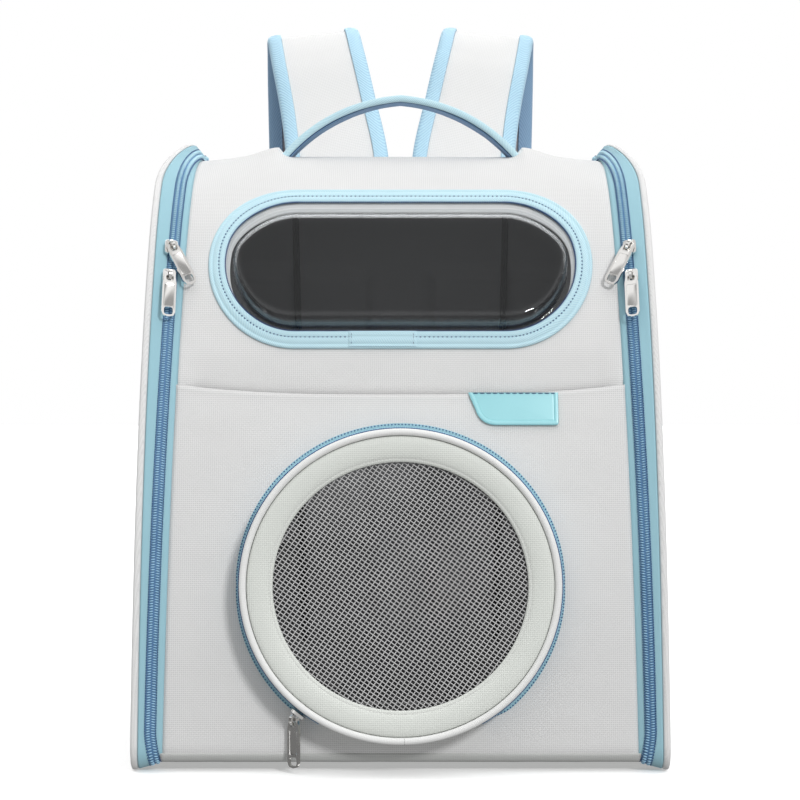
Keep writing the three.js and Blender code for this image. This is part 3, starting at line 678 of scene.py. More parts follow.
class Form:
    """A piece's mesh in the making, with a UV map in metres."""

    BATCH = 60

    def __init__(self) -> None:
        """Starts an empty mesh."""
        self.mesh = bmesh.new()
        self.map = self.mesh.loops.layers.uv.new("UVMap")

    def sheet(
        self, cells: tuple[int, int], place: Place, size: Span = (1.0, 1.0),
        closed: bool = False, finish: int = 0, chart: Chart | None = None,
    ) -> None:
        """Lays a grid on a surface.

        Args:
            cells: Faces across and along.
            place: The point for shares across and along.
            size: What the UV map spans, in metres.
            closed: Whether meeting edges and poles are merged.
            finish: The material slot.
            chart: UV in metres for shares across and along, in place of size.
        """
        made = bmesh.ops.create_grid(self.mesh, x_segments=cells[0], y_segments=cells[1], size=0.5)["verts"]
        shares = {vert: (vert.co.x + 0.5, vert.co.y + 0.5) for vert in made}
        for face in {face for vert in made for face in vert.link_faces}:
            face.material_index = finish
            for loop in face.loops:
                u, v = shares[loop.vert]
                loop[self.map].uv = chart(u, v) if chart else (u * size[0], v * size[1])
        for vert, (u, v) in shares.items():
            vert.co = place(u, v)
        if closed:
            bmesh.ops.remove_doubles(self.mesh, verts=made, dist=MERGE)

    def tube(
        self, cells: tuple[int, int], path: Path, radius: float, ring: bool = False, flat: float = 1.0,
    ) -> None:
        """Sweeps a round section along a path.

        Args:
            cells: Faces round and along.
            path: The point for a share along.
            radius: In metres.
            ring: Whether the path meets itself.
            flat: The section's height as a share of its width.
        """
        frames = [self._frame(path, k / cells[1], ring) for k in range(cells[1] + 1)]
        length = sum((path((k + 1) / cells[1]) - path(k / cells[1])).length for k in range(cells[1]))

        def place(u: float, v: float) -> Vector:
            """A point round the section.

            Args:
                u: Share across.
                v: Share along.

            Returns:
                The point.
            """
            centre, side, rise = frames[round(v * cells[1])]
            turn = -2 * math.pi * u
            return centre + side * (math.cos(turn) * radius) + rise * (math.sin(turn) * radius * flat)

        self.sheet(cells, place, (2 * math.pi * radius, length), True)

    @staticmethod
    def _frame(path: Path, share: float, ring: bool) -> tuple[Vector, Vector, Vector]:
        """Centre, sideways and upright directions of a path.

        Args:
            path: The point for a share.
            share: How far along.
            ring: Whether the path meets itself.

        Returns:
            The three vectors.
        """
        low, high = share - 1e-3, share + 1e-3
        if ring:
            low, high = low % 1.0, high % 1.0
        else:
            low, high = max(low, 0.0), min(high, 1.0)
        along = (path(high) - path(low)).normalized()
        upright = Vector((0, -1, 0)) if abs(along.y) < 0.9 else Vector((0, 0, 1))
        side = along.cross(upright).normalized()
        return path(share), side, side.cross(along).normalized()

    def beads(self, frames: Sequence[Matrix], finish: int = 0) -> None:
        """Sets a small rounded bead at each frame, some at a time: stitches and zip coils.

        Args:
            frames: One matrix a bead.
            finish: The material slot.
        """
        for first in range(0, len(frames), self.BATCH):
            some = bmesh.new()
            for matrix in frames[first:first + self.BATCH]:
                bmesh.ops.create_icosphere(some, subdivisions=1, radius=1.0, matrix=matrix)
            for face in some.faces:
                face.material_index = finish
            data = bpy.data.meshes.new("beads")
            some.to_mesh(data)
            some.free()
            self.mesh.from_mesh(data)
            bpy.data.meshes.remove(data)

    def holes(self, inside: Callable[[Vector], bool], snap: Callable[[Vector], Vector]) -> None:
        """Takes out the vertices inside an outline and draws the rim to it.

        Args:
            inside: Whether a point is cut away.
            snap: The rim's point for a vertex.
        """
        gone = [vert for vert in self.mesh.verts if inside(vert.co)]
        ring = {edge.other_vert(vert) for vert in gone for edge in vert.link_edges} - set(gone)
        bmesh.ops.delete(self.mesh, geom=gone, context="VERTS")
        for vert in ring:
            vert.co = snap(vert.co)

    def outward(self) -> None:
        """Points the faces of closed shells outwards."""
        bmesh.ops.recalc_face_normals(self.mesh, faces=self.mesh.faces[:])

    def flip(self) -> None:
        """Turns every face over."""
        bmesh.ops.reverse_faces(self.mesh, faces=self.mesh.faces[:])

    def merge(self, dist: float = MERGE) -> None:
        """Joins vertices that meet."""
        bmesh.ops.remove_doubles(self.mesh, verts=self.mesh.verts[:], dist=dist)

    def edges(self) -> list[bmesh.types.BMEdge]:
        """The open edges."""
        return [edge for edge in self.mesh.edges if edge.is_boundary]

    def cap(self) -> None:
        """Fills the open ends and points the faces outwards."""
        bmesh.ops.holes_fill(self.mesh, edges=self.edges())
        self.outward()

    def data(self, name: str) -> bpy.types.Mesh:
        """Hands the mesh over.

        Args:
            name: The data's name.

        Returns:
            The data.
        """
        made = bpy.data.meshes.new(name)
        self.mesh.to_mesh(made)
        self.mesh.free()
        return made

    def piece(
        self, name: str, finishes: Sequence[Finish], slot: str,
        nodes: Sequence[str] = (), rides_on: Body = Body.CARRIER, crease: float = 40.0,
    ) -> bpy.types.Object:
        """Makes the object, dresses it and hangs it on its body.

        Args:
            name: The piece's name.
            finishes: Finishes by material slot.
            slot: The record's material slot; not used.
            nodes: CAD nodes that it stands for.
            rides_on: The body that it moves with.
            crease: Edges sharper than this stay sharp, in degrees.

        Returns:
            The object.
        """
        data = self.data(name)
        data.shade_smooth()
        data.set_sharp_from_angle(angle=math.radians(crease))
        made = added(name, data)
        body = rides_on.value
        for finish in finishes:
            data.materials.append(finish.material())
        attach(made, body)
        if nodes:
            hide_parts(*nodes)
        LOG.info("%s: %d faces on %s", name, len(data.polygons), body)
        return made


def thicken(piece: bpy.types.Object, thick: float, lining: int = 0) -> None:
    """Gives a sheet its wall, inwards, in millimetres.

    Args:
        piece: The sheet.
        thick: The wall.
        lining: Inner face's slot.
    """
    wall = piece.modifiers.new("wall", "SOLIDIFY")
    wall.thickness = thick * MM
    wall.offset = -1.0
    wall.material_offset = lining
    wall.use_even_offset = True


def bead_frame(centre: Vector, along: Vector, normal: Vector, size: Triple) -> Matrix:
    """A bead's matrix.

    Args:
        centre: In metres.
        along: Its long direction.
        normal: Outwards.
        size: Half length, half width and half height in millimetres.

    Returns:
        The matrix for a unit sphere.
    """
    along = along.normalized()
    side = normal.cross(along).normalized()
    rise = along.cross(side)
    columns = (along * (size[0] * MM), side * (size[1] * MM), rise * (size[2] * MM))
    matrix = Matrix(columns).transposed().to_4x4()
    matrix.translation = centre
    return matrix


def stitch_row(path: Path, out: Path, count: int, size: Triple, turn: float = 0.0) -> list[Matrix]:
    """Frames of a row of stitches.

    Args:
        path: The point for a share along the row.
        out: The outward direction there.
        count: How many stitches.
        size: Half sizes of one, in millimetres.
        turn: Each stitch's turn about its normal, in degrees.

    Returns:
        One frame a stitch.
    """
    frames = []
    for k in range(count):
        share = (k + 0.5) / count
        along = path(min(share + 0.2 / count, 1.0)) - path(max(share - 0.2 / count, 0.0))
        normal = out(share).normalized()
        along = Matrix.Rotation(math.radians(turn), 3, normal) @ along
        frames.append(bead_frame(path(share), along, normal, size))
    return frames


@dataclass
class Pill:
    """The window's long rounded outline, laid on the front by x and arc length."""

    mid: float = 359.5
    half_x: float = 135.4
    half_s: float = 66.5
    end: float = 62.0

    def at(self, share: float, inset: float) -> Span:
        """The outline's x and arc length at a share of the way round, from the bottom's middle.

        Args:
            share: How far round.
            inset: Drawn in by, in millimetres.

        Returns:
            x and arc length.
        """
        straight = self.half_x - self.end
        bend = math.pi / 2 * (self.end + self.half_s) / 2
        quarter = straight + bend
        place = (share % 1.0) * 4 * quarter
        leg, rest = divmod(place, 2 * quarter)
        along = rest if rest <= quarter else 2 * quarter - rest
        turn = max(0.0, along - straight) / bend * math.pi / 2
        x = min(along, straight) + (self.end - inset) * math.sin(turn)
        s = (self.half_s - inset) * math.cos(turn) * (-1 if rest <= quarter else 1)
        return (x, self.mid + s) if leg == 0 else (-x, self.mid - s)

    def depth(self, x: float, s: float, inset: float) -> float:
        """Below 1 inside the outline, 1 on it."""
        across = max(0.0, abs(x) - (self.half_x - self.end)) / (self.end - inset)
        return math.hypot(across, (s - self.mid) / (self.half_s - inset))

    def drawn(self, x: float, s: float, inset: float) -> Span:
        """The outline's point nearest to a place by scaling.

        Args:
            x: Place across.
            s: Arc length.
            inset: Drawn in by.

        Returns:
            x and arc length.
        """
        straight = self.half_x - self.end
        over = max(0.0, abs(x) - straight)
        scale = 1 / max(self.depth(x, s, inset), 0.05)
        return math.copysign(min(abs(x), straight) + over * scale, x), self.mid + (s - self.mid) * scale


@dataclass
class Drum:
    """The plane of the round door, a little tilted from upright."""

    z: float = 126.0
    tilt: float = math.radians(4.0)
    rx: float = 108.2
    rz: float = 105.5

    def __post_init__(self) -> None:
        """Finds how deep the plane lies."""
        self.d = SKIN.at(SKIN.station(self.z))[0]

    def point(self, x: float, up: float, out: float) -> Vector:
        """A point by x, height up the plane and distance out of it."""
        d = self.d + up * math.sin(self.tilt) - out * math.cos(self.tilt)
        return mm(x, d, self.z + up * math.cos(self.tilt) + out * math.sin(self.tilt))

    def oval(self, angle: float, inset: float, out: float) -> Vector:
        """A point of the door's outline, inset towards the middle."""
        return self.point((self.rx - inset) * math.cos(angle), (self.rz - inset) * math.sin(angle), out)

    def forward(self) -> Vector:
        """The direction out of the plane."""
        return (self.point(0, 0, 1) - self.point(0, 0, 0)).normalized()

    def foot(self, angle: float, inset: float) -> float:
        """How far out the front lies under the outline.

        Args:
            angle: Round the door.
            inset: Drawn in by.

        Returns:
            The distance in millimetres.
        """
        out = 0.0
        for _ in range(6):
            point = self.oval(angle, inset, out)
            front = SKIN.at(SKIN.station(point.z / MM))[0]
            out += (point.y / MM + SHIFT_D - front) / math.cos(self.tilt)
        return out


PILL = Pill()
DRUM = Drum()


@dataclass
class FrontWalls:
    """The two cloth walls of the front, which meet at the cross seam."""

    thick: float = 2.5
    seam_z: float = 256.0
    seam_rise: float = 7.0
    upper_set: float = -0.6
    lip: float = 0.5
    lip_rise: float = 4.0
    tuck: float = 7.0
    columns: int = 108
    lower_rows: int = 90
    upper_rows: int = 112
    window_hole: float = 10.5
    door_hole: float = 3.5
    pucker_x: float = 93.0
    pucker_rise: float = 4.4
    sag: float = 2.8

    def __post_init__(self) -> None:
        """Finds the seam's arc length at each column."""
        shares = [2 * k / self.columns - 1 for k in range(self.columns + 1)]
        self.seams = [SKIN.station(self.seam_z + self.seam_rise * abs(share) ** 3) for share in shares]

    @staticmethod
    def slack(x: float, s: float, share: float) -> float:
        """Soft unevenness of stretched cloth, in millimetres."""
        waves = 0.55 * ripple(x, s * 1.5, 80.0, 3.7) + 0.2 * ripple(x * 0.7, s * 1.8, 27.0, 9.1)
        return waves * (1 - step(0.86, 1.0, abs(share)))

    def pucker(self, x: float, d: float) -> float:
        """The top cloth's rise outside the handle's feet, which ends at them, and its sag between them.

        Args:
            x: Place across.
            d: Depth.

        Returns:
            The rise.
        """
        across = math.exp(-((abs(x) - self.pucker_x) / 15) ** 2) * step(88.0, 91.5, abs(x))
        sag = self.sag * (1 - step(80.0, 91.0, abs(x))) * step(110.0, 165.0, d) * (1 - step(215.0, 250.0, d))
        return self.pucker_rise * across * math.exp(-((d - 178) / 26) ** 2) - sag

    def seam(self, u: float) -> float:
        """The seam's arc length at a share across."""
        return self.seams[round(u * self.columns)]

    @staticmethod
    def between(low: float, high: float, u: float, v: float) -> Triple:
        """x, arc length and share of the half width at a place between two arc lengths."""
        s = mixed(low, high, v)
        return (2 * u - 1) * front_half(SKIN.height(s)), s, 2 * u - 1

    def lower(self) -> None:
        """The wall from the base to the seam, with the door's hole."""
        form = Form()

        def spot(u: float, v: float) -> Triple:
            """x, arc length and share of the half width."""
            return self.between(GAP, self.seam(u) - GAP, u, v)

        def place(u: float, v: float) -> Vector:
            """A point of the wall.

            Args:
                u: Share across.
                v: Share along.

            Returns:
                The point.
            """
            x, s, share = spot(u, v)
            top = self.seam(u)
            rise = self.lip * step(top - self.lip_rise, top - 1, s)
            edge = 0.7 * step(0.975, 1.0, abs(share))
            quiet = 1 - step(top - 22, top - 6, s)
            return SKIN.point(x, s, rise - edge + self.slack(x, s, share) * quiet)

        form.sheet((self.columns, self.lower_rows), place, chart=charted(spot))
        rx, rz = DRUM.rx - self.door_hole, DRUM.rz - self.door_hole

        def share_out(point: Vector) -> float:
            """Below 1 inside the door's hole."""
            return math.hypot(point.x / MM / rx, (point.z / MM - DRUM.z) / rz)

        def snap(point: Vector) -> Vector:
            """The hole's rim nearest to a point."""
            scale = 1 / share_out(point)
            return SKIN.point(point.x / MM * scale, SKIN.station(mixed(DRUM.z, point.z / MM, scale)))

        form.holes(lambda point: share_out(point) < 1, snap)
        made = form.piece("front_lower_cloth", (Cloths.CANVAS, Cloths.LINING), "cloth", ("front_lower_panel",))
        thicken(made, self.thick, 1)

    def upper(self) -> None:
        """The wall from the seam over the top, with the window's hole."""
        form = Form()

        def spot(u: float, v: float) -> Triple:
            """x, arc length and share of the half width."""
            return self.between(self.seam(u) - self.tuck, SKIN.TOP - GAP, u, v)

        def place(u: float, v: float) -> Vector:
            """A point of the wall.

            Args:
                u: Share across.
                v: Share along.

            Returns:
                The point.
            """
            x, s, share = spot(u, v)
            seam = self.seam(u)
            lean = max(0.0, 1 - (s - seam) / 32) ** 1.5 * (1 - step(0.88, 1.0, abs(share)))
            tuck = 1.6 * (1 - step(seam - 3, seam + 5, s)) + 3.6 * lean
            edge = 0.5 * step(0.975, 1.0, abs(share))
            quiet = step(seam, seam + 20, s) * step(1.0, 1.25, PILL.depth(x, s, 0))
            rise = self.pucker(x, SKIN.at(s)[0]) - corner_dip(s, share)
            return SKIN.point(x, s, self.upper_set - tuck - edge + rise + self.slack(x, s, share) * quiet)

        form.sheet((self.columns, self.upper_rows), place, chart=charted(spot))

        def under(point: Vector) -> Triple:
            """A point's x and arc length, and the hole's inset."""
            return point.x / MM, SKIN.station(min(point.z / MM, 439.0)), self.window_hole

        def snap(point: Vector) -> Vector:
            """The hole's rim nearest to a point."""
            return SKIN.point(*PILL.drawn(*under(point)), self.upper_set)

        form.holes(lambda point: PILL.depth(*under(point)) < 1, snap)
        made = form.piece("front_upper_cloth", (Cloths.CANVAS, Cloths.LINING), "cloth", ("front_upper_panel",))
        thicken(made, self.thick, 1)

    def build(self) -> None:
        """Makes both walls."""
        self.lower()
        self.upper()


@dataclass
class SideBoard:
    """A padded board in the shape of the cabin's profile, whose rim stands proud."""

    side: int
    name: str
    rim: float = 6.0
    round_cells: int = 260
    rings: tuple[Span, ...] = (
        (0.0, 3.2), (0.0, 3.8), (0.4, 4.4), (1.2, 4.9), (2.6, 5.15), (5.2, 5.1), (7.0, 4.8), (7.8, 4.3),
        (8.4, 4.3), (9.0, 4.6), (11.0, 5.2), (14.0, 5.7),
    )
    inner_rings: tuple[Span, ...] = ((0.0, 3.2), (0.0, 1.8), (0.6, 0.7), (1.8, 0.1), (8.0, 0.0), (14.0, 0.0))
    turned: int = 5
    shares: tuple[float, ...] = (0.93, 0.84, 0.7, 0.5, 0.28, 0.1, 0.0)
    crown: float = 8.6
    centre: Span = (150.0, 205.0)
    groove: Span = (8.1, 4.55)
    stitches: int = 330
    stitch: Triple = (1.3, 0.4, 0.35)

    def spot(self, u: float, inset: float, share: float) -> Span:
        """Depth and height at a place round the board.

        Args:
            u: Share round.
            inset: Drawn in by.
            share: From the centre.

        Returns:
            d and z.
        """
        d, z, nd, nz = SKIN.at(u * SKIN.stations[-1])
        d += nd * (self.rim - inset)
        z += nz * (self.rim - inset)
        return mixed(self.centre[0], d, share), mixed(self.centre[1], z, share)

    def rows(self, rings: Sequence[Span], crown: float) -> list[Triple]:
        """Inset, share and height of each ring, from the rim to the centre.

        Args:
            rings: Inset and height.
            crown: Height at the centre.

        Returns:
            One row a ring.
        """
        rows = [(inset, 1.0, height) for inset, height in rings]
        inset, height = rings[-1]
        for share in self.shares:
            rows.append((inset, share, mixed(height, crown, step(0.0, 0.45, 1 - share))))
        return rows

    def face(self, form: Form, rows: Sequence[Triple], finish: int) -> None:
        """Lays one face of the board from the rim to its centre.

        Args:
            form: The mesh.
            rows: From rows().
            finish: The material slot.
        """
        last = len(rows) - 1

        def spot(u: float, v: float) -> Triple:
            """Depth, height up the bag and height off the board.

            Args:
                u: Share round.
                v: From the rim to the centre.

            Returns:
                The three values.
            """
            inset, share, height = rows[round(v * last)]
            d, z = self.spot(u, inset, share)
            slack = 0.5 * ripple(d, z, 70.0, 5.0 + self.side) * step(0.0, 0.2, 1 - share)
            return d, z, height + (slack if height > 5 else 0.0)

        def place(u: float, v: float) -> Vector:
            """A point of the face."""
            d, z, height = spot(u, v)
            return mm(self.side * (side_inner(z) + height), d, z)

        def chart(u: float, v: float) -> Span:
            """Threads run level and upright."""
            d, z, height = spot(u, v)
            return (d + 0.7 * height) * MM, (z + 0.7 * height) * MM

        form.sheet((self.round_cells, last), place, chart=chart, closed=True, finish=finish)

    def build(self) -> None:
        """Makes the board and its sewn edge."""
        form = Form()
        inner = self.rows(self.inner_rings, 0.0)
        self.face(form, self.rows(self.rings, self.crown), 0)
        self.face(form, inner[:self.turned], 0)
        self.face(form, inner[self.turned - 1:], 1)
        form.merge()
        form.outward()
        form.beads(stitch_row(self.seam, lambda _: Vector((self.side, 0, 0)), self.stitches, self.stitch), 2)
        # The board's canvas is painted lighter than the front's, as painted light.
        finishes = (Cloths.LIT_BOARD_CANVAS, Cloths.LINING, Cloths.PALE_THREAD)
        made = form.piece(f"side_board_{self.name}", finishes, "cloth", (f"side_panel_{self.name}",))

    def seam(self, share: float) -> Vector:
        """The stitched groove inside the rim."""
        d, z = self.spot(share, self.groove[0], 1.0)
        return mm(self.side * (side_inner(z) + self.groove[1]), d, z)


@dataclass
class BackAndBase:
    """The padded back, the base board and the hem along the base's front, whose grey is partly painted shade."""

    back_thick: float = 5.0
    base_thick: float = 3.5
    pad_rise: float = 6.0
    pad_half: float = 138.0
    pad_low: float = 66.0
    pad_high: float = 362.0
    channel: float = 17.0
    cells: tuple[int, int] = (96, 132)
    quilt_rows: Triple = (140.0, 214.0, 288.0)
    depth: float = 280.0
    seam_x: Span = (84.0, 76.0)
    seam_z: Span = (400.0, 60.0)
    seam_radius: float = 2.6
    hem_top: float = 12.5
    hem_thick: float = 2.5
    hem_proud: float = 0.4

    def quilt(self, x: float, s: float) -> float:
        """The back pads' rise over the board, with sewn channels between.

        Args:
            x: Place across.
            s: Arc length.

        Returns:
            The rise, none on the bends above and below.
        """
        if not SKIN.BACK < s < SKIN.HEEL:
            return 0.0
        z = SKIN.height(s)
        side = step(0.0, 14.0, self.pad_half - abs(x)) * step(0.0, 10.0, abs(x) - self.channel)
        ends = step(0.0, 14.0, z - self.pad_low) * step(0.0, 14.0, self.pad_high - z)
        rows = 1.0
        for middle in self.quilt_rows:
            rows *= 0.35 + 0.65 * step(0.0, 9.0, abs(z - middle))
        return self.pad_rise * side * ends * rows

    def back(self) -> None:
        """The back wall with its pads and the lining's two seams."""
        form = Form()

        def spot(u: float, v: float) -> Span:
            """x and arc length."""
            s = mixed(SKIN.TOP + GAP, SKIN.UNDER - GAP, v)
            return (2 * u - 1) * (side_inner(SKIN.height(s)) - GAP), s

        def place(u: float, v: float) -> Vector:
            """A point of the back's outer face."""
            x, s = spot(u, v)
            return SKIN.point(x, s, self.quilt(x, s))

        form.sheet(self.cells, place, chart=charted(spot))
        finishes = (Cloths.CANVAS, Cloths.LINING, Cloths.SEAM)
        made = form.piece("back_pad", finishes, "cloth", ("back_panel",))
        thicken(made, self.back_thick, 1)
        seams = Form()
        for side, _ in SIDES:
            seams.tube((6, 24), lambda v, side=side: self.lining_seam(v, side), self.seam_radius * MM, flat=0.5)
        seams.outward()
        seams.piece("lining_seams", (Cloths.SEAM,), "cloth")

    def lining_seam(self, share: float, side: int) -> Vector:
        """The bound seam down the lining of the back."""
        x = side * mixed(*self.seam_x, share)
        return mm(x, self.depth - self.back_thick - 0.6, mixed(*self.seam_z, share))

    def base(self) -> None:
        """The base board, cloth covered."""
        form = Form()

        def spot(u: float, v: float) -> Span:
            """x and arc length."""
            s = mixed(SKIN.UNDER + GAP, SKIN.ROUND - GAP, v)
            return (2 * u - 1) * (side_inner(6.0) - GAP), s

        form.sheet(
            (40, 32), lambda u, v: SKIN.point(*spot(u, v), -0.2 * ripple(*spot(u, v), 60.0, 2.0) ** 2),
            chart=charted(spot),
        )
        made = form.piece("base_board", (Cloths.HEM, Cloths.LINING), "cloth", ("base_panel",))
        thicken(made, self.base_thick, 1)

    def hem(self) -> None:
        """The bound lip under the front, grey cloth whose grey is partly painted shade for the downward-facing lip.
        """
        form = Form()
        top = SKIN.station(self.hem_top)

        def spot(u: float, v: float) -> Triple:
            """x, arc length and rise of the rounded lip.

            Args:
                u: Share across.
                v: Share along.

            Returns:
                The three values.
            """
            s = mixed(GAP, top, v)
            x = (2 * u - 1) * (front_half(SKIN.height(s)) + 1.5)
            return x, s, self.hem_proud + 0.5 * math.sin(math.pi * v) + 0.15 * ripple(x, s, 14.0, 1.0)

        form.sheet((120, 12), lambda u, v: SKIN.point(*spot(u, v)), chart=charted(spot))
        made = form.piece("hem_band", (Cloths.HEM,), "hem", ("base_hem",))
        thicken(made, self.hem_thick)

    def build(self) -> None:
        """Makes the back, the base and the hem."""
        self.back()
        self.base()
        self.hem()


@dataclass
class SideZip:
    """The long zip between the front and a side board: its tape, coils and sewing threads."""

    side: int
    name: str
    tape_thick: float = 1.2
    rim_set: float = 5.2
    start: float = 6.0
    middle: Span = (0.51, 0.37)
    swerve: float = 0.22
    pitch: float = 1.75
    coil_x: float = 1.75
    coil: Triple = (1.6, 0.5, 0.85)
    bed: float = 3.5
    thread_x: float = 3.9
    thread_pitch: float = 1.7
    thread: Triple = (0.95, 0.32, 0.4)
    closed: float = 372.0
    tuck: float = 1.3
    cells: int = 230

    def section(self, s: float) -> tuple[Vector, Vector, Vector, Vector]:
        """Inner edge, outer edge, outward direction and way up at an arc length.

        Args:
            s: Arc length.

        Returns:
            Two points and two directions.
        """
        z = SKIN.height(s)
        low = SKIN.point(self.side * (front_half(z) + GAP), s, -self.tape_thick / 3 - corner_dip(s, 1.0))
        rim = SKIN.point(0, s, self.rim_set).z / MM
        high = SKIN.point(self.side * (side_inner(rim) - GAP), s, self.rim_set)
        up = (SKIN.point(0, min(s + 1, SKIN.TOP)) - SKIN.point(0, max(s - 1, 0))).normalized()
        across = (high - low).normalized() * self.side
        return low, high, across.cross(up).normalized(), up

    def on_tape(self, s: float, across: float, lift: float) -> tuple[Vector, Vector, Vector, Vector]:
        """A point by its distance from the coils' middle and its lift, with its three directions.

        Args:
            s: Arc length.
            across: Towards the board.
            lift: Off the tape.

        Returns:
            The point and its sideways, outward and upward directions.
        """
        low, high, normal, up = self.section(s)
        side = (high - low).normalized()
        middle = mixed(*self.middle, step(20.0, 420.0, s)) - self.swerve * step(30.0, 2.0, s)
        return low.lerp(high, middle) + side * (across * MM) + normal * (lift * MM), side, normal, up

    def tape(self) -> None:
        """The woven tape from under the front's edge up to the board's rim."""
        form = Form()

        def place(u: float, v: float) -> Vector:
            """A point of the tape's face.

            Args:
                u: Share across.
                v: Share along.

            Returns:
                The point.
            """
            low, high, normal, _ = self.section(mixed(GAP, SKIN.TOP - GAP, v))
            sag = 0.5 * math.cos(math.pi * (2 * u - 1)) - 0.5
            tuck = self.tuck * step(0.12, 0.0, u)
            rise = self.tape_thick / 2 + 0.55 * sag + 0.35 * step(0.2, 0.0, u) - 0.5 * tuck
            return low.lerp(high, u) + normal * (rise * MM) - (high - low).normalized() * (tuck * MM)

        form.sheet((14, self.cells), place, (0.0172, 0.589))
        if self.side < 0:
            form.flip()
        made = form.piece(f"zip_tape_cloth_{self.name}", (Cloths.TAPE,), "zip_tape", (f"zip_tape_{self.name}",))
        thicken(made, self.tape_thick)

    def chain(self) -> None:
        """Two rows of coils on a bed painted dark as the shade between them, and the threads that hold them."""
        form = Form()
        stop = SKIN.TOP - 1.5
        lift = self.tape_thick / 2 + 0.55

        def bed(u: float, v: float) -> Vector:
            """A point of the bed, arched a little between the threads."""
            rise = lift - 0.5 + 0.4 * math.sin(math.pi * u)
            return self.on_tape(mixed(self.start, stop, v), (2 * u - 1) * self.bed, rise)[0]

        # The bed is painted dark navy as the shade between and under the coils.
        form.sheet((6, self.cells), bed, (0.007, 0.58), finish=2)
        if self.side < 0:
            form.flip()
        coils, upper, threads = [], [], []
        for k in range(int((stop - self.start) / self.pitch)):
            for row in (-1, 1):
                spot = self.start + (k + (row + 1) / 4) * self.pitch
                centre, across, normal, _ = self.on_tape(spot, row * self.coil_x, lift)
                slant = Matrix.Rotation(math.radians(row * 9), 3, normal) @ across
                (upper if spot > self.closed else coils).append(bead_frame(centre, slant, normal, self.coil))
        for k in range(int((stop - self.start) / self.thread_pitch)):
            for row in (-1, 1):
                spot = self.start + k * self.thread_pitch
                centre, _, normal, up = self.on_tape(spot, row * self.thread_x, lift - 0.2)
                threads.append(bead_frame(centre, up, normal, self.thread))
        form.beads(coils)
        form.beads(threads, 1)
        form.beads(upper, 3)
        finishes = (Cloths.COIL, Cloths.THREAD, Cloths.SHADE_BED, Cloths.UPPER_COIL)
        form.piece(f"zip_coil_{self.name}", finishes, "zip_chain", (f"zip_chain_{self.name}",), crease=70)

    def build(self) -> None:
        """Makes the tape and its coils."""
        self.tape()
        self.chain()


@dataclass
class Hardware:
    """Plated sliders and pulls, and the strap buckles, with their edges rounded."""

    edge: float = 0.28
    buckle_edge: float = 0.7

    def rounded(self, node: str, name: str, finish: Finish, slot: str, rides_on: Body, width: float) -> None:
        """Copies a CAD node with joined faces and rounded edges.

        Args:
            node: The CAD node.
            name: The piece's name.
            finish: Its finish.
            slot: The record's slot.
            rides_on: The body that it moves with.
            width: The rounding in millimetres.
        """
        form = Form()
        form.mesh.from_mesh(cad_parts[node].data)
        form.merge(1e-5)
        bmesh.ops.dissolve_limit(
            form.mesh, angle_limit=math.radians(1.0), verts=form.mesh.verts[:], edges=form.mesh.edges[:],
        )
        for face in form.mesh.faces:
            face.material_index = 0
        made = form.piece(name, (finish,), slot, (node,), rides_on, 50)
        bevel = made.modifiers.new("round", "BEVEL")
        bevel.width = width * MM
        bevel.segments = 2
        bevel.limit_method = "ANGLE"
        bevel.angle_limit = math.radians(35.0)
        bevel.profile = 0.5

    def plated(self, node: str, name: str, rides_on: Body = Body.CARRIER) -> None:
        """A plated piece."""
        self.rounded(node, name, Cloths.NICKEL, "nickel", rides_on, self.edge)

    def build(self) -> None:
        """Makes every slider, pull and buckle."""
        for _, side in SIDES:
            for row in ("upper", "lower"):
                tail = f"{row}_{side}"
                self.plated(f"zip_slider_{tail}", f"slider_{tail}")
                self.plated(f"zip_pull_{tail}", f"tab_{tail}", Body(f"pull_{tail}"))
            node, name = f"strap_buckle_{side}", f"buckle_{side}"
            self.rounded(node, name, Cloths.BUCKLE, "buckle", Body.CARRIER, self.buckle_edge)
        self.plated("door_slider", "slider_door")
        self.plated("door_pull", "tab_door", Body.PULL_DOOR)


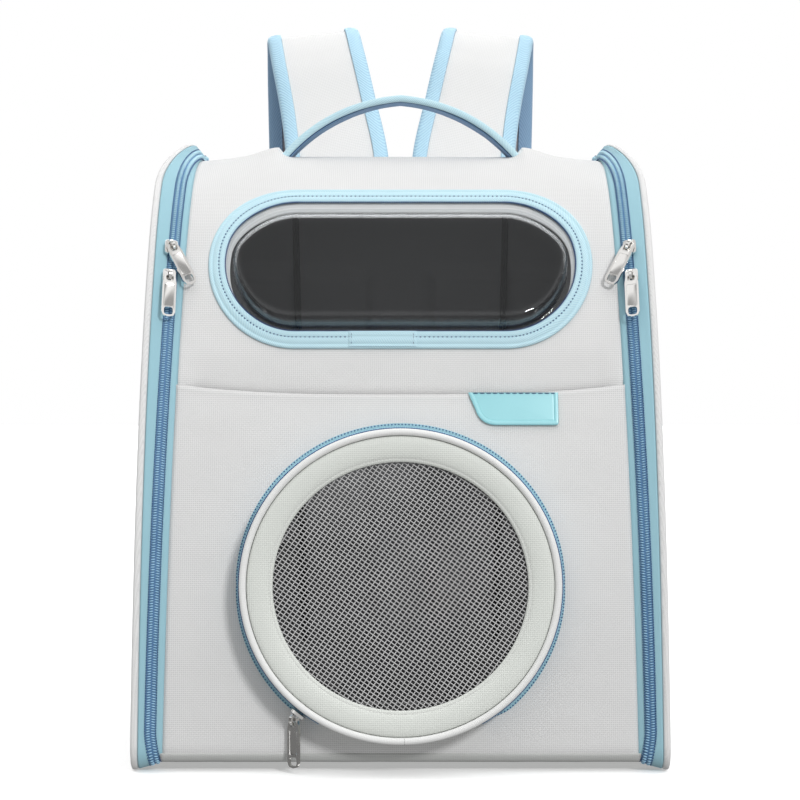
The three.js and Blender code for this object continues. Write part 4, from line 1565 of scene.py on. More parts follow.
@dataclass
class Window:
    """The clear dome and the twill band that binds it to the front."""

    steps: int = 264
    wall: float = 1.2
    seat: float = -0.3
    rings: tuple[Span, ...] = (
        (5.3, 0.0), (9.0, 0.0), (12.6, 0.0), (13.3, 0.02), (13.8, 0.09), (14.2, 0.24), (14.7, 0.44), (15.4, 0.62),
        (16.4, 0.78), (17.6, 0.89), (19.2, 0.96), (21.0, 0.99), (23.0, 1.0), (34.0, 1.0),
    )
    set_in: Triple = (3.6, 12.2, 1.0)
    hem_shown: Triple = (11.6, 4.0, 7.0)
    face: tuple[Span, Span] = ((313.0, 13.0), (391.0, 3.5))
    shares: tuple[float, ...] = (0.8, 0.6, 0.4, 0.2, 0.0)
    band: tuple[Span, ...] = (
        (3.0, -0.5), (0.9, -0.5), (0.1, -0.2), (-0.1, 0.5), (0.2, 1.2), (0.9, 1.7), (1.7, 1.75), (2.4, 1.35),
        (2.8, 1.25), (3.3, 1.75), (4.4, 2.3), (5.8, 2.6), (6.7, 2.5), (7.1, 2.25), (7.6, 2.25), (8.0, 2.5),
        (9.0, 2.8), (10.2, 2.75), (11.0, 2.4), (11.5, 1.8), (11.55, 1.25), (10.5, 1.1), (8.0, 1.1),
    )
    wider: Span = (0.2, 0.08)
    way_round: float = 0.655
    stitch_at: Span = (7.35, 2.45)
    stitches: int = 226
    stitch: Triple = (0.75, 0.62, 0.45)
    overlock_at: Span = (11.8, 1.6)
    overlocks: int = 430
    overlock: Triple = (0.8, 0.5, 0.6)
    overlock_turn: float = 62.0
    lap: Span = (-37.0, 12.0)
    lap_rise: float = 0.7

    def pane(self) -> None:
        """The dome, clear and glossy, its flange on the cloth and its face flat."""
        form = Form()
        rows = [(inset, rise, 1.0) for inset, rise in self.rings]
        inset, rise = self.rings[-1]
        rows += [(inset, rise, share) for share in self.shares]
        last = len(rows) - 1

        def place(u: float, v: float) -> Vector:
            """A point of the dome's outer face.

            Args:
                u: Share round.
                v: From the rim to the middle.

            Returns:
                The point.
            """
            inset, rise, share = rows[round(v * last)]
            x, s = PILL.at(u, inset)
            if inset > 12.0:
                up = (s - PILL.mid) / PILL.half_s
                sides, top, foot = self.set_in
                crown = step(0.1, 0.95, up)
                inset += sides * (1 - step(0.3, 0.9, abs(up))) + foot * step(0.3, 0.95, -up)
                x, s = PILL.at(u, inset + (top + (inset - 12.6) * 0.4) * crown)
            x, s = x * share, mixed(PILL.mid, s, share)
            return SKIN.point(x, s, self.seat + self.wall).lerp(self.flat(x, s), rise)

        form.sheet((self.steps, last), place, closed=True)
        made = form.piece("window_dome", (Cloths.PANE,), "pane", ("window_pane",), crease=70)
        thicken(made, self.wall)

    def hem(self) -> None:
        """The cloth's turned edge under the dome's clear flange, wider at the sides and the top."""
        form = Form()
        foot, sides, top = self.hem_shown

        def place(u: float, v: float) -> Vector:
            """A point of the turned edge.

            Args:
                u: Share round.
                v: Share across.

            Returns:
                The point.
            """
            up = (PILL.at(u, 9.0)[1] - PILL.mid) / PILL.half_s
            edge = foot + sides * step(-0.7, 0.1, up) + top * step(0.1, 0.9, up)
            return SKIN.point(*PILL.at(u, mixed(9.0, edge, v)), -0.42 - 0.5 * step(0.7, 1.0, v))

        form.sheet((self.steps, 6), place, (self.way_round, 0.007), closed=True)
        made = form.piece("window_hem", (Cloths.CANVAS,), "cloth")
        thicken(made, self.wall)

    def flat(self, x: float, s: float) -> Vector:
        """A point of the plane that the dome's face lies in."""
        (foot, low), (head, high) = self.face
        return SKIN.point(x, foot, low).lerp(SKIN.point(x, head, high), (s - foot) / (head - foot))

    def on_band(self, u: float, inset: float) -> Span:
        """x and arc length on the band, which is wider at the top and a little at the bottom."""
        up = (PILL.at(u, 0.0)[1] - PILL.mid) / PILL.half_s
        return PILL.at(u, inset * (1 + self.wider[0] * step(0.3, 0.95, up) + self.wider[1] * step(0.3, 0.95, -up)))

    def binding(self) -> None:
        """The band, its stitching, its overlocked inner edge and the lap where its ends meet."""
        form = Form()
        last = len(self.band) - 1
        depths = lengths(self.band)

        def place(u: float, v: float) -> Vector:
            """A point of the band.

            Args:
                u: Share round.
                v: Share across.

            Returns:
                The point.
            """
            inset, offset = self.band[round(v * last)]
            x, s = self.on_band(u, inset)
            wave = 0.12 * ripple(x, s, 9.0, 4.0) * step(0.5, 2.0, offset)
            return SKIN.point(x, s, offset + wave)

        form.sheet(
            (self.steps * 2, last), place, closed=True,
            chart=lambda u, v: (depths[round(v * last)] * MM, u * self.way_round),
        )
        self._sew(form, 1, self.stitch_at, self.stitches, self.stitch)
        self._sew(form, 2, self.overlock_at, self.overlocks, self.overlock, self.overlock_turn)
        self._lap(form)
        finishes = (Cloths.BINDING, Cloths.SKY_THREAD, Cloths.THREAD)
        form.piece("window_band", finishes, "binding", ("window_binding",), crease=60)

    def on_row(self, share: float, inset: float, rise: float) -> Vector:
        """A point of a row round the band, off the front by a rise."""
        return SKIN.point(*self.on_band(share, inset), rise)

    def _out(self, share: float, inset: float) -> Vector:
        """Away from the front at a row round the band."""
        return self.on_row(share, inset, 1) - self.on_row(share, inset, 0)

    def _sew(self, form: Form, finish: int, spot: Span, count: int, size: Triple, turn: float = 0.0) -> None:
        """Sews a row round the band, at an inset and a rise."""
        row = stitch_row(lambda t: self.on_row(t, *spot), lambda t: self._out(t, spot[0]), count, size, turn)
        form.beads(row, finish)

    def _lap(self, form: Form) -> None:
        """The short double layer at the bottom.

        Args:
            form: The band's mesh.
        """
        rows = [row for row in self.band if row[1] > 0.6][1:-2]
        last = len(rows) - 1

        def place(u: float, v: float) -> Vector:
            """A point of the lap.

            Args:
                u: Share along.
                v: Share across.

            Returns:
                The point.
            """
            inset, offset = rows[round(v * last)]
            x = mixed(*self.lap, u)
            edge = step(0.0, 0.03, u) * step(0.0, 0.03, 1 - u)
            lift = mixed(-0.6, self.lap_rise, edge)
            return SKIN.point(x, PILL.mid - PILL.half_s + inset * (1 + self.wider[1]), offset + lift)

        span = self.lap[1] - self.lap[0]
        form.sheet((48, last), place, (span * MM, 0.012))
        foot = PILL.mid - PILL.half_s
        out = SKIN.point(0, foot, 1) - SKIN.point(0, foot, 0)
        for x in (self.lap[0] + 0.06 * span, self.lap[1] - 0.06 * span):
            low = SKIN.point(x, foot + 2.5, 2.6)
            high = SKIN.point(x, foot + 10.5, 3.5)
            row = stitch_row(lambda t, a=low, b=high: a.lerp(b, t), lambda _: out, 4, (0.7, 0.3, 0.3))
            form.beads(row, 1)

    def build(self) -> None:
        """Makes the dome, the hem under it and its band."""
        self.pane()
        self.hem()
        self.binding()


@dataclass
class Door:
    """The round drum door: its wall, piped ring, net and zip."""

    steps: int = 192
    out: float = 25.0
    flare: float = 1.0
    wall_thick: float = 2.0
    sink: float = 1.4
    pipe: float = 2.4
    ring: tuple[Span, ...] = (
        (5.2, 22.0), (5.0, 24.0), (5.6, 25.2), (7.0, 25.9), (10.0, 26.2), (14.0, 26.2), (18.0, 25.6),
        (19.6, 25.0), (20.3, 24.5), (20.9, 24.6), (21.9, 24.2), (22.6, 23.3), (22.5, 22.2), (20.0, 22.0),
    )
    hem_inset: float = 20.3
    net_inset: float = 18.0
    net_out: float = 21.4
    net_turn: float = math.radians(-34.0)
    net_pitch: Span = (3.17, 2.49)
    strand: float = 0.32
    zip_gap: float = 30.0
    tape: tuple[float, ...] = (1.9, 3.5, 6.0, 8.5, 11.0, 13.0)
    flange: tuple[Span, ...] = ((1.0, 0.1), (1.0, 0.6), (0.9, 0.85), (0.5, 0.9), (0.15, 1.0))
    flange_width: Span = (2.5, 2.0)
    brim: float = 6.0
    chain: float = 7.0
    tape_thick: float = 0.8
    hem_stitches: int = 230
    hem_stitch: Triple = (0.95, 0.28, 0.25)
    flange_stitches: int = 250
    flange_stitch: Triple = (0.7, 0.42, 0.35)
    coils: int = 440
    coil_row: float = 1.4
    coil: Triple = (1.4, 0.52, 0.7)
    threads: int = 330
    thread_row: float = 3.2
    thread: Triple = (0.95, 0.4, 0.45)

    def __post_init__(self) -> None:
        """Finds how far out the front lies round the door, at the wall and past it."""
        angles = [self.angle(k / self.steps) for k in range(self.steps + 1)]
        self.feet, self.brims = ([DRUM.foot(angle, -past) for angle in angles] for past in (self.flare, self.brim))

    @staticmethod
    def angle(share: float) -> float:
        """The angle at a share of the way round, from the bottom."""
        return 2 * math.pi * share - math.pi / 2

    def foot(self, share: float, past: float = 0.0) -> float:
        """How far out the front lies at a share of the way round, at the wall or a distance past it.

        Args:
            share: How far round.
            past: Distance past the wall.

        Returns:
            The distance in millimetres.
        """
        place = (share % 1.0) * self.steps
        k = int(place)
        near, far = (mixed(row[k], row[min(k + 1, self.steps)], place - k) for row in (self.feet, self.brims))
        return mixed(near, far, past / (self.brim - self.flare))

    def on_front(self, share: float, past: float, lift: float) -> Vector:
        """A point over the front cloth, a distance past the wall."""
        return DRUM.oval(self.angle(share), -self.flare - past, self.foot(share, past) + lift)

    def on_wall(self, share: float, height: float, lift: float = 0.0) -> Vector:
        """A point on the wall's outer face at a height above its foot.

        Args:
            share: How far round.
            height: Above the foot.
            lift: Off the wall.

        Returns:
            The point.
        """
        foot = self.foot(share)
        rise = height / (self.out - 2 * GAP - self.pipe - foot)
        inset = -self.flare + rise * (self.sink + self.flare)
        return DRUM.oval(self.angle(share), inset - lift, foot + height)

    def outward(self, share: float) -> Vector:
        """Away from the door's middle."""
        angle = self.angle(share)
        return (DRUM.oval(angle, -1, 0) - DRUM.oval(angle, 0, 0)).normalized()

    def wall(self) -> None:
        """The drum's cloth wall."""
        form = Form()
        top = self.out - self.pipe - 0.2

        def place(u: float, v: float) -> Vector:
            """A point of the wall."""
            belly = 0.5 * math.sin(math.pi * v) + 0.25 * ripple(u * 680, v * 25, 22.0, 6.0)
            return self.on_wall(u, 0.2 + v * (top - self.foot(u) - 0.2), belly * 0.6)

        form.sheet((self.steps, 14), place, (0.675, 0.024), closed=True)
        made = form.piece("door_drum", (Cloths.DOOR_CANVAS, Cloths.LINING), "cloth", ("door_wall",))
        thicken(made, self.wall_thick, 1)

    def rim(self) -> None:
        """The flat ring with its hemmed inner edge."""
        form = Form()
        last = len(self.ring) - 1

        def place(u: float, v: float) -> Vector:
            """A point of the ring.

            Args:
                u: Share round.
                v: Share across.

            Returns:
                The point.
            """
            inset, out = self.ring[round(v * last)]
            wave = 0.18 * ripple(inset * 2, u * 640, 24.0, 8.0) * step(22.5, 25.0, out)
            return DRUM.oval(self.angle(u), inset, out + wave)

        def chart(u: float, v: float) -> Span:
            """Threads run level and upright across the ring."""
            point = DRUM.oval(self.angle(u), self.ring[round(v * last)][0], 0)
            return point.x, point.z

        form.sheet((self.steps, last), place, chart=chart, closed=True)
        row = stitch_row(
            lambda t: DRUM.oval(self.angle(t), self.hem_inset, 24.55), lambda _: DRUM.forward(),
            self.hem_stitches, self.hem_stitch,
        )
        form.beads(row, 1)
        form.piece("door_face", (Cloths.DOOR_CANVAS, Cloths.PALE_THREAD), "cloth", ("door_ring",))

    def piping(self) -> None:
        """The cord round the ring, and the stitches where its ends meet."""
        form = Form()
        middle = self.out - GAP
        form.tube((14, self.steps), lambda t: DRUM.oval(self.angle(t), self.pipe, middle), self.pipe * MM, ring=True)
        form.outward()
        join = stitch_row(
            lambda t: DRUM.oval(self.angle(0.004), self.pipe * (1 - 1.02 * math.cos(mixed(0.4, 2.6, t))),
                                middle + self.pipe * 1.02 * math.sin(mixed(0.4, 2.6, t))),
            lambda _: DRUM.forward(), 3, (1.0, 0.22, 0.22),
        )
        form.beads(join, 1)
        form.piece("door_cord", (Cloths.PIPING, Cloths.HEM), "cloth", ("door_piping",))

    def net(self) -> None:
        """Strands that pass over and under each other, tied into the ring."""
        form = Form()
        rx, rz = DRUM.rx - self.net_inset, DRUM.rz - self.net_inset
        for row, (pitch, crossing) in enumerate((self.net_pitch[::-1], self.net_pitch)):
            turn = self.net_turn + row * math.pi / 2
            along = Vector((math.cos(turn), math.sin(turn)))
            across = Vector((-along.y, along.x))
            reach = int(max(rx, rz) / pitch)
            for k in range(-reach, reach + 1):
                self._strand(form, along, across * (k * pitch), crossing, (k + row) % 2, (rx, rz))
        form.piece("door_net", (Cloths.NET,), "net", ("door_mesh",), crease=80)

    def _strand(self, form: Form, along: Vector, start: Vector, crossing: float, phase: int, radii: Span) -> None:
        """One strand across the opening.

        Args:
            form: The net's mesh.
            along: Its direction in the door's plane.
            start: A point of it there.
            crossing: Pitch of the strands it crosses.
            phase: 0 or 1, over or under first.
            radii: The opening's half sizes.
        """
        a = (along.x / radii[0]) ** 2 + (along.y / radii[1]) ** 2
        b = 2 * (along.x * start.x / radii[0] ** 2 + along.y * start.y / radii[1] ** 2)
        c = (start.x / radii[0]) ** 2 + (start.y / radii[1]) ** 2 - 1
        inner = b * b - 4 * a * c
        if inner <= 0:
            return
        low, high = ((-b + sign * math.sqrt(inner)) / (2 * a) for sign in (-1, 1))
        if high - low < 2 * crossing:
            return
        cells = max(2, int((high - low) / crossing * 2))

        def place(u: float, v: float) -> Vector:
            """A point of the strand's square section.

            Args:
                u: Share round the section.
                v: Share along.

            Returns:
                The point.
            """
            reach = mixed(low, high, v)
            spot = start + along * reach
            wave = 0.22 * math.cos(math.pi * (reach / crossing + phase))
            sag = 0.8 * (1 - (spot.x / radii[0]) ** 2 - (spot.y / radii[1]) ** 2)
            turn = 2 * math.pi * u
            side = Vector((-along.y, along.x)) * (self.strand * math.cos(turn))
            return DRUM.point(
                spot.x + side.x, spot.y + side.y,
                self.net_out - sag + wave - self.strand * 0.8 * math.sin(turn),
            )

        form.sheet((4, cells), place, (0.002, (high - low) * MM), closed=True)

    def along(self, share: float) -> float:
        """How far round the door a share of the zip lies, which leaves out the hinge at the bottom."""
        gap = self.zip_gap / 360
        return mixed(gap, 1 - gap, share)

    def zip_tape(self) -> None:
        """The tape: a flange sewn to the front, then up the wall, open along the hinge at the bottom."""
        form = Form()
        last = len(self.flange) + len(self.tape) - 1
        level, more = self.flange_width

        def past(u: float) -> float:
            """The flange's width, narrower at the sides and at the zip's ends."""
            ends = step(0.0, 0.04, u) * step(0.0, 0.04, 1 - u)
            return (level + more * abs(math.sin(self.angle(self.along(u)))) ** 0.7) * ends

        def place(u: float, v: float) -> Vector:
            """A point of the tape.

            Args:
                u: Share along the zip.
                v: Share across.

            Returns:
                The point.
            """
            share, row = self.along(u), round(v * last)
            if row < len(self.flange):
                out, lift = self.flange[row]
                return self.on_front(share, out * past(u), lift)
            return self.on_wall(share, self.tape[row - len(self.flange)], GAP + self.tape_thick)

        form.sheet((160, last), place, (0.57, 0.016))
        row = stitch_row(
            lambda t: self.on_front(self.along(t), 0.82 * past(t), 1.0), lambda _: DRUM.forward(),
            self.flange_stitches, self.flange_stitch,
        )
        form.beads(row, 1)
        made = form.piece("door_tape_cloth", (Cloths.TAPE, Cloths.THREAD), "zip_tape", ("door_zip_tape",))
        thicken(made, self.tape_thick)

    def zip_coils(self) -> None:
        """Two rows of coils on the tape and the threads that hold them."""
        form = Form()
        lift = GAP + self.tape_thick
        turns = []
        for k in range(self.coils):
            share = self.along((k + 0.5) / self.coils)
            for row in (-1, 1):
                centre = self.on_wall(share, self.chain + row * self.coil_row, lift + 0.45)
                turns.append(bead_frame(centre, DRUM.forward(), self.outward(share), self.coil))
        form.beads(turns)
        for side in (-1, 1):
            row = stitch_row(
                lambda t, side=side: self.on_wall(self.along(t), self.chain + side * self.thread_row, lift + 0.3),
                lambda t: self.outward(self.along(t)), self.threads, self.thread,
            )
            form.beads(row, 1)
        form.piece("door_coil", (Cloths.COIL, Cloths.THREAD), "zip_chain", ("door_zip_chain",), crease=70)

    def build(self) -> None:
        """Makes the whole door."""
        self.wall()
        self.rim()
        self.piping()
        self.net()
        self.zip_tape()
        self.zip_coils()


@dataclass
class LabelTab:
    """The small bare tab sewn under the cross seam, with a raised border."""

    x: float = 77.6
    s: float = 249.0
    width: float = 62.0
    height: float = 23.0
    clear: float = 1.1
    rows: tuple[Span, ...] = (
        (0.6, 0.0), (0.0, 0.3), (0.0, 0.9), (0.25, 1.3), (0.7, 1.5), (2.2, 1.5), (2.65, 1.35), (2.9, 0.95),
        (3.2, 0.85), (3.45, 0.95), (3.9, 1.0),
    )

    def outline(self, inset: float) -> list[Span]:
        """The tab's outline in its own plane, drawn in on three sides, from its upper left corner.

        Args:
            inset: Drawn in by, in millimetres.

        Returns:
            The points in order.
        """
        half, low = self.width / 2, -self.height / 2
        edge, foot, bend = half - inset, low + inset, max(2.0 - inset, 0.5)
        left = ((-half + 5 + inset, low + 11), (-half + 8 + 0.8 * inset, foot), (-half + 20, foot))
        right = ((edge - bend, foot), (edge, foot), (edge, foot + bend))
        points = [(-half + 1.08 * inset, -low)]
        points += [tuple(bezier(left, k / 10)) for k in range(11)]
        points += [tuple(bezier(right, k / 5)) for k in range(6)]
        return points + [(edge, -low), points[0]]

    def build(self) -> None:
        """Makes the tab: a rounded border on three sides, a sunk field and the seam's long stitches."""
        form = Form()
        up = (SKIN.point(0, self.s + 1) - SKIN.point(0, self.s - 1)).normalized()
        right = Vector((1, 0, 0))
        out = right.cross(up)
        origin = SKIN.point(self.x, self.s, self.clear)
        rings = [self.outline(inset) for inset, _ in self.rows]
        last, count = len(rings) - 1, len(rings[0]) - 1

        def spot(x: float, y: float, height: float) -> Vector:
            """A point by its place in the tab's plane and its height off it."""
            return origin + right * (x * MM) + up * (y * MM) + out * (height * MM)

        def place(u: float, v: float) -> Vector:
            """A point of the border."""
            row = round(v * last)
            return spot(*rings[row][round(u * count)], self.rows[row][1])

        form.sheet((count, last), place, closed=True)
        form.cap()
        top = self.height / 2 - 0.6
        low, high = spot(-self.width / 2 + 3, top, 1.3), spot(self.width / 2 - 1, top, 1.3)
        form.beads(stitch_row(lambda t: low.lerp(high, t), lambda _: out, 13, (2.0, 0.35, 0.25)), 1)
        form.piece("label_bare", (Cloths.LABEL, Cloths.SKY_THREAD), "label", ("label_tab",), crease=55)


@dataclass
class Handle:
    """Folded webbing that arches over the top."""

    d: float = 175.0
    half: float = 92.0
    apex: float = 478.0
    drop: float = 50.0
    bend: Span = (58.0, 5.2)
    width: float = 24.0
    thick: float = 6.4
    steps: int = 90
    roll: tuple[Span, ...] = (
        (-0.9, -0.62), (-1.0, -0.5), (-1.05, -0.2), (-1.06, 0.2), (-1.03, 0.6), (-0.97, 0.88), (-0.86, 1.0),
        (-0.6, 1.02), (-0.3, 0.97), (0.0, 0.96), (0.3, 0.97), (0.6, 1.02), (0.86, 1.0), (0.97, 0.88), (1.03, 0.6),
        (1.06, 0.2), (1.05, -0.2), (1.0, -0.5), (0.9, -0.62),
    )
    # The crevice rows are painted near-black navy as the shade between the roll and the fold.
    crevice: tuple[Span, ...] = ((0.9, -0.62), (0.84, -0.66), (0.82, -0.72), (0.86, -0.78))
    fold: tuple[Span, ...] = (
        (0.86, -0.78), (0.88, -0.9), (0.82, -1.02), (0.6, -1.06), (0.3, -1.02), (0.0, -0.96),
        (-0.3, -1.02), (-0.6, -1.06), (-0.82, -1.02), (-0.88, -0.9), (-0.86, -0.78),
    )

    def path(self, share: float) -> tuple[Vector, Vector]:
        """The arch's middle and its upward direction at a share along it.

        Args:
            share: How far along.

        Returns:
            The point and the direction.
        """
        low, bend = self.apex - self.drop, self.apex - self.bend[1]
        side = -1 if share < 0.5 else 1
        t = 1 - abs(2 * share - 1)
        corners = ((side * self.half, low), (side * self.bend[0], bend), (0.0, self.apex))
        point = bezier(corners, t)
        ahead = bezier(corners, min(t + 0.01, 1.0)) - bezier(corners, max(t - 0.01, 0.0))
        along = ahead.normalized() * -side
        rise = Vector((-along.y, along.x))
        blunt = step(0.0, 0.2, abs(2 * share - 1))
        rise = rise.lerp(Vector((0.0, 1.0)), 1 - blunt).normalized()
        return mm(point.x, self.d, point.y), Vector((rise.x, 0, rise.y))

    def build(self) -> None:
        """Makes the webbing: a rolled upper layer, a crevice painted navy as shade and the fold under it, painted
        darker as shade.
        """
        form = Form()
        back = tuple((-y, n) for y, n in reversed(self.crevice))
        # The crevice and its mirror take the navy thread colour as painted shade; the fold takes the darker fold
        # colour as painted shade.
        for finish, rows in enumerate((self.roll, self.crevice, self.fold, back)):
            self.layer(form, rows, finish if finish < 3 else 1)
        form.merge()
        form.cap()
        form.piece("handle_webbing", (Cloths.BINDING, Cloths.SKY_THREAD, Cloths.SHADED_FOLD), "binding", ("handle",))

    def layer(self, form: Form, rows: Sequence[Span], finish: int) -> None:
        """Sweeps one part of the section along the arch.

        Args:
            form: The mesh.
            rows: Part of the section.
            finish: The material slot.
        """
        last = len(rows) - 1
        depths = lengths([(y * self.width / 2, n * self.thick / 2) for y, n in rows])

        def place(u: float, v: float) -> Vector:
            """A point round the webbing.

            Args:
                u: Share across.
                v: Share along.

            Returns:
                The point.
            """
            y, n = rows[round(u * last)]
            centre, rise = self.path(v)
            n = max(n, -0.62) + min(0.0, n + 0.62) * mixed(0.35, 1.0, step(0.1, 0.5, abs(2 * v - 1)))
            swell = 1 + 0.05 * ripple(v * 210, y * 30, 12.0, 3.0)
            return centre + Vector((0, y * self.width / 2 * MM, 0)) + rise * (n * self.thick / 2 * swell * MM)

        form.sheet(
            (last, self.steps), place, finish=finish, chart=lambda u, v: (depths[round(u * last)] * MM, v * 0.215),
        )


class StrapFrame(NamedTuple):
    """Where a strap lies at one place along it."""

    centre: Vector
    across: Vector
    normal: Vector
    half: float
    thick: float


@dataclass
class Strap:
    """A padded shoulder strap with bound edges, and the webbing under it."""

    side: int
    name: str
    rows: tuple[tuple[float, ...], ...] = (
        (282.9, 400, 49, 82, 5, 7), (283.8, 420, 49.5, 82, 6, 9), (288.5, 448, 51.2, 81, 7, 10),
        (297, 490, 58.5, 76.5, 8, 9), (307, 528, 66.6, 75, 8, 8), (322, 548, 71.6, 74, 8, 6),
        (338, 537, 73.5, 72, 8, 4), (347, 500, 74, 71, 8, 0), (350, 420, 73.7, 69, 8, 0),
        (346, 330, 74, 69, 8, 0), (336, 250, 75, 58, 8, 0), (328, 212, 75, 38, 6, 0),
    )
    web_rows: tuple[Triple, ...] = (
        (320.6, 183.7, 76), (310, 128, 88), (293, 76, 108), (282.6, 44, 125), (281.3, 28, 131),
    )
    web_width: float = 25.0
    web_thick: float = 1.5
    web_section: tuple[Span, ...] = (
        (-1.0, 0.0), (-0.98, 0.7), (-0.93, 1.0), (-0.5, 1.0), (0.0, 1.0), (0.5, 1.0), (0.93, 1.0), (0.98, 0.7),
        (1.0, 0.0), (0.98, -0.7), (0.93, -1.0), (0.0, -1.0), (-0.93, -1.0), (-0.98, -0.7), (-1.0, 0.0),
    )
    steps: int = 150
    pad_cells: int = 22
    wrap: tuple[Span, ...] = (
        (10.3, 0.46), (9.9, 0.60), (8.0, 0.62), (5.0, 0.58), (2.6, 0.50), (1.0, 0.36), (0.2, 0.16), (0.0, 0.0),
        (0.2, -0.16), (1.0, -0.36), (2.6, -0.50), (5.0, -0.58), (8.0, -0.62), (9.9, -0.60), (10.3, -0.46),
    )

    def __post_init__(self) -> None:
        """Draws the routes."""
        self.route = Run([(self.side * x, d - SHIFT_D, z) for d, z, x, _, _, _ in self.rows])
        self.sizes = Run([(width, thick, roll) for _, _, _, width, thick, roll in self.rows])
        self.web = Run([(self.side * x, d - SHIFT_D, z) for d, z, x in self.web_rows])

    def frame_at(self, share: float) -> StrapFrame:
        """The strap's place, directions and size at a share along it.

        Args:
            share: How far along.

        Returns:
            The place, in millimetres.
        """
        width, thick, roll = self.sizes.at(share)
        tangent = self.route.tangent(share)
        roll = math.radians(-self.side * roll)
        lean = Vector((math.cos(roll), 0, math.sin(roll)))
        across = (lean - tangent * lean.dot(tangent)).normalized()
        return StrapFrame(self.route.at(share), across, tangent.cross(across).normalized(), width / 2, thick)

    @staticmethod
    def crown(across: float) -> float:
        """The pad's half thickness as a share, from its middle to its bound edges."""
        return 0.5 * (1.12 - 0.32 * abs(across) ** 2.4)

    def pad(self) -> None:
        """The pad: cloth on its outer face, soft open lining on its inner one."""
        form = Form()
        length = self.route.length() * MM
        for sign, finish in ((-1, 0), (1, 1)):

            def place(u: float, v: float, sign: int = sign) -> Vector:
                """A point of one face of the pad.

                Args:
                    u: Share across.
                    v: Share along.
                    sign: -1 outside, 1 inside.

                Returns:
                    The point.
                """
                spot = self.frame_at(v)
                across = 2 * u - 1
                shift = across * (spot.half - 2.0)
                wave = 0.35 * ripple(shift, v * 640, 38.0, 7.0 + sign) * (1 - abs(across) ** 4)
                height = sign * (self.crown(across) * spot.thick + wave)
                return (spot.centre + spot.across * shift + spot.normal * height) * MM

            form.sheet((self.pad_cells, self.steps), place, (0.075, length), finish=finish)
        bmesh.ops.bridge_loops(form.mesh, edges=form.edges())
        form.outward()
        # The pad's outer cloth is painted lighter than the front's, as painted light.
        finishes = (Cloths.LIT_STRAP_CANVAS, Cloths.STRAP_LINING)
        made = form.piece(f"strap_pad_{self.name}", finishes, "cloth", (f"strap_{self.name}",))

    def bound_edge(self, edge: int) -> None:
        """The twill band folded round one edge, painted darker on the lining's side as shade.

        Args:
            edge: -1 or 1, left or right.
        """
        form = Form()
        tail = f"{'outer' if edge == self.side else 'inner'}_{self.name}"
        middle = len(self.wrap) // 2
        length = self.route.length() * MM
        for finish, rows in ((0, self.wrap[middle:]), (1, self.wrap[:middle + 1])):

            def place(u: float, v: float, rows: Sequence[Span] = rows) -> Vector:
                """A point of one half of the fold.

                Args:
                    u: Share across.
                    v: Share along.
                    rows: Half of the fold.

                Returns:
                    The point.
                """
                inset, share = rows[round(u * middle)]
                spot = self.frame_at(v)
                wave = 0.1 * ripple(inset * 3, v * 640, 11.0, 2.0)
                height = share * (spot.thick + 0.8) + wave * math.copysign(1, share)
                return (spot.centre + spot.across * (edge * (spot.half - inset)) + spot.normal * height) * MM

            def chart(u: float, v: float, rows: Sequence[Span] = rows) -> Span:
                """Across the band from its fold, and along it."""
                inset, share = rows[round(u * middle)]
                return (inset + 8 * share) * self.side * edge * MM, v * length

            form.sheet((middle, self.steps), place, chart=chart, finish=finish)
        form.merge()
        if edge < 0:
            form.flip()
        # The lining side's half of the band is painted darker as shade.
        finishes = (Cloths.STRAP_BINDING, Cloths.SHADED_UNDER_BINDING)
        made = form.piece(f"strap_edge_{tail}", finishes, "binding", (f"strap_binding_{tail}",))
        thicken(made, 0.7)

    def webbing(self) -> None:
        """The adjusting webbing from the buckle to the base of the back."""
        form = Form()
        length = self.web.length() * MM
        half, thick = self.web_width / 2, self.web_thick / 2
        last = len(self.web_section) - 1

        def place(u: float, v: float) -> Vector:
            """A point round the webbing.

            Args:
                u: Share across.
                v: Share along.

            Returns:
                The point.
            """
            shift, height = self.web_section[round(u * last)]
            tangent = self.web.tangent(v)
            across = (Vector((1, 0, 0)) - tangent * tangent.x).normalized()
            normal = tangent.cross(across).normalized()
            return (self.web.at(v) + across * (shift * half) + normal * (height * thick)) * MM

        form.sheet(
            (last, 60), place, closed=True,
            chart=lambda u, v: (self.web_section[round(u * last)][0] * half * MM, v * length),
        )
        form.cap()
        name = f"strap_webbing_{self.name}"
        form.piece(f"strap_web_{self.name}", (Cloths.WEBBING,), "binding", (name,))

    def build(self) -> None:
        """Makes the pad, its bindings and its webbing."""
        self.pad()
        self.bound_edge(self.side)
        self.bound_edge(-self.side)
        self.webbing()


class Lamp(NamedTuple):
    """A far lamp: its turn from the front, its climb and its width in degrees, and its power."""

    name: str
    turn: float
    climb: float
    width: float
    power: float
    mirrored: bool = False


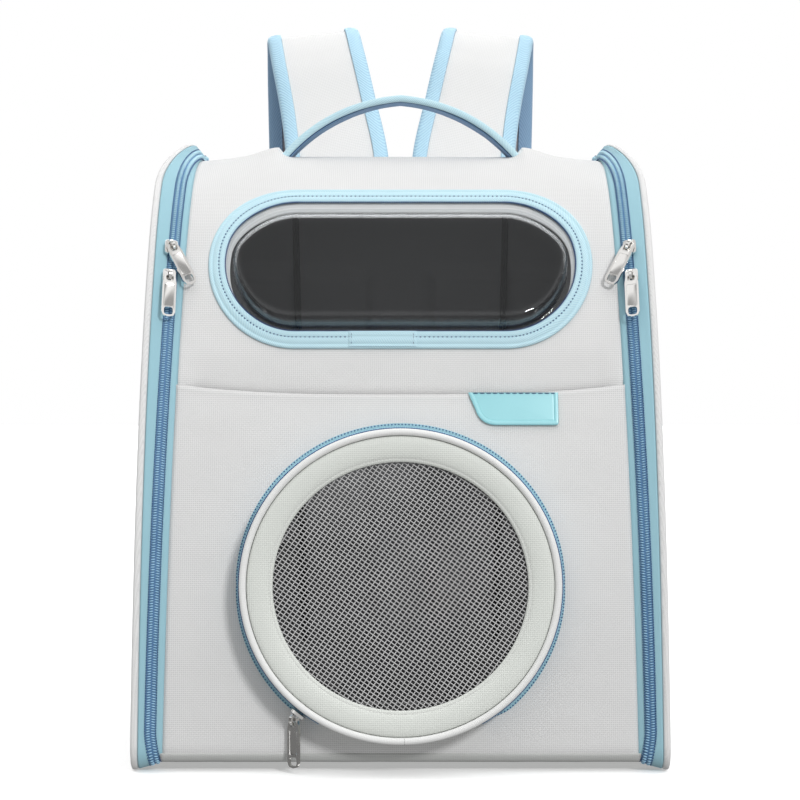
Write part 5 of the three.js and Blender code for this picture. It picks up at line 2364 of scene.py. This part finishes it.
@dataclass
class Studio:
    """White surroundings, soft lights, a pale floor and the camera."""

    LEVEL = (math.pi / 2, 0.0, 0.0)

    lens: float = 99.675
    sensor: float = 36.0
    eye: Triple = (-0.00034, -1.6625, 0.252)
    surround: Span = (0.11, 0.32)
    mirrored: Triple = (0.5, 0.56, 0.65)
    boxes: Span = (1.7, 3.0)
    inside: Triple = (0.075, 0.26, 0.28)
    inside_at: Triple = (0.0, 84.0, 205.0)
    lamps: tuple[Lamp, ...] = (
        Lamp("key", 25.0, 27.0, 10.0, 1.4, True),
        Lamp("overhead", 0.0, 84.0, 100.0, 2.4),
        Lamp("behind_left", 215.0, 10.0, 30.0, 0.75),
        Lamp("behind_right", 145.0, 10.0, 30.0, 0.75),
    )
    floor_half: float = 20.0
    floor_cells: int = 24
    floor_z: float = -0.0004

    def camera(self) -> None:
        """The camera, level and square to the front."""
        data = bpy.data.cameras.new("camera")
        data.lens = self.lens
        data.sensor_width = self.sensor
        made = added("camera", data)
        made.location = self.eye
        made.rotation_euler = self.LEVEL
        bpy.context.scene.camera = made

    def surroundings(self) -> None:
        """White all round for the camera, dimmer as light, with bright boxes for what is glossy."""
        world = bpy.data.worlds.new("surround")
        sky = Shader(world)
        _, aside, away, rise = sky.coords(Space.AROUND)
        low, band, less = self.mirrored
        glow = (1 - rise.ramp(0.15, 0.5)) * self.surround[1] + self.surround[0]
        flags = 1 - abs(aside).ramp(0.5, 0.75) * (rise.ramp(0.0, 0.1) * 0.25 + 0.6)
        mirror = (rise.ramp(0.02, 0.22) * band + low - rise.ramp(0.72, 0.92) * less) * flags
        strips = abs(aside).ramp(0.77, 0.79) * (1 - abs(aside).ramp(0.82, 0.84))
        mirror = mirror + strips * self.boxes[0] + away.ramp(0.0, 0.25) * rise.ramp(0.4, 0.6) * self.boxes[1]
        seen = sky.node("LightPath", {}, {}, "Is Camera Ray")
        glossy = sky.node("LightPath", {}, {}, "Is Glossy Ray")
        sky.dress(Color=(1.0, 1.0, 1.0), Strength=glow + seen * (1 - glow) + glossy * (mirror - glow))
        bpy.context.scene.world = world

    def far_lamps(self) -> None:
        """The key from the right, a wide lamp overhead and two behind."""
        for lamp in self.lamps:
            data = bpy.data.lights.new(lamp.name, "SUN")
            data.energy = lamp.power
            data.angle = math.radians(lamp.width)
            made = added(lamp.name, data)
            made.visible_glossy = lamp.mirrored
            turn, climb = math.radians(lamp.turn), math.radians(lamp.climb)
            towards = Vector((math.sin(turn) * math.cos(climb), -math.cos(turn) * math.cos(climb), math.sin(climb)))
            made.rotation_euler = (-towards).to_track_quat("-Z", "Y").to_euler()

    def cabin_lamp(self) -> None:
        """The soft light on the lining of the back, itself unseen."""
        data = bpy.data.lights.new("inside", "AREA")
        data.shape = "RECTANGLE"
        data.energy, data.size, data.size_y = self.inside
        made = added("inside", data)
        made.location = mm(*self.inside_at)
        made.rotation_euler = self.LEVEL
        made.visible_camera = False
        made.visible_glossy = False

    def floor(self) -> None:
        """The pale floor, which isn't part of the object."""
        form = Form()
        half, cells = self.floor_half, self.floor_cells
        form.sheet((cells, cells), lambda u, v: Vector((mixed(-half, half, u), mixed(-half, half, v), self.floor_z)))
        data = form.data("floor")
        made = added("floor", data)
        data.materials.append(Ground("floor_pale").material())
        made.visible_diffuse = False
        made.visible_glossy = False

    def build(self) -> None:
        """Sets the scene up."""
        self.camera()
        self.surroundings()
        self.cabin_lamp()
        self.far_lamps()
        self.floor()
        bpy.context.scene.view_settings.view_transform = "Standard"


def main() -> None:
    """Builds every sub-assembly in order."""
    logging.basicConfig(level=logging.INFO, format="%(name)s %(message)s")
    parts: list[Any] = [Studio(), FrontWalls(), BackAndBase(), Window(), Door(), LabelTab(), Handle(), Hardware()]
    for side, name in SIDES:
        parts += [SideBoard(side, name), SideZip(side, name), Strap(side, name)]
    for part in parts:
        part.build()


if __name__ == "__main__":
    main()
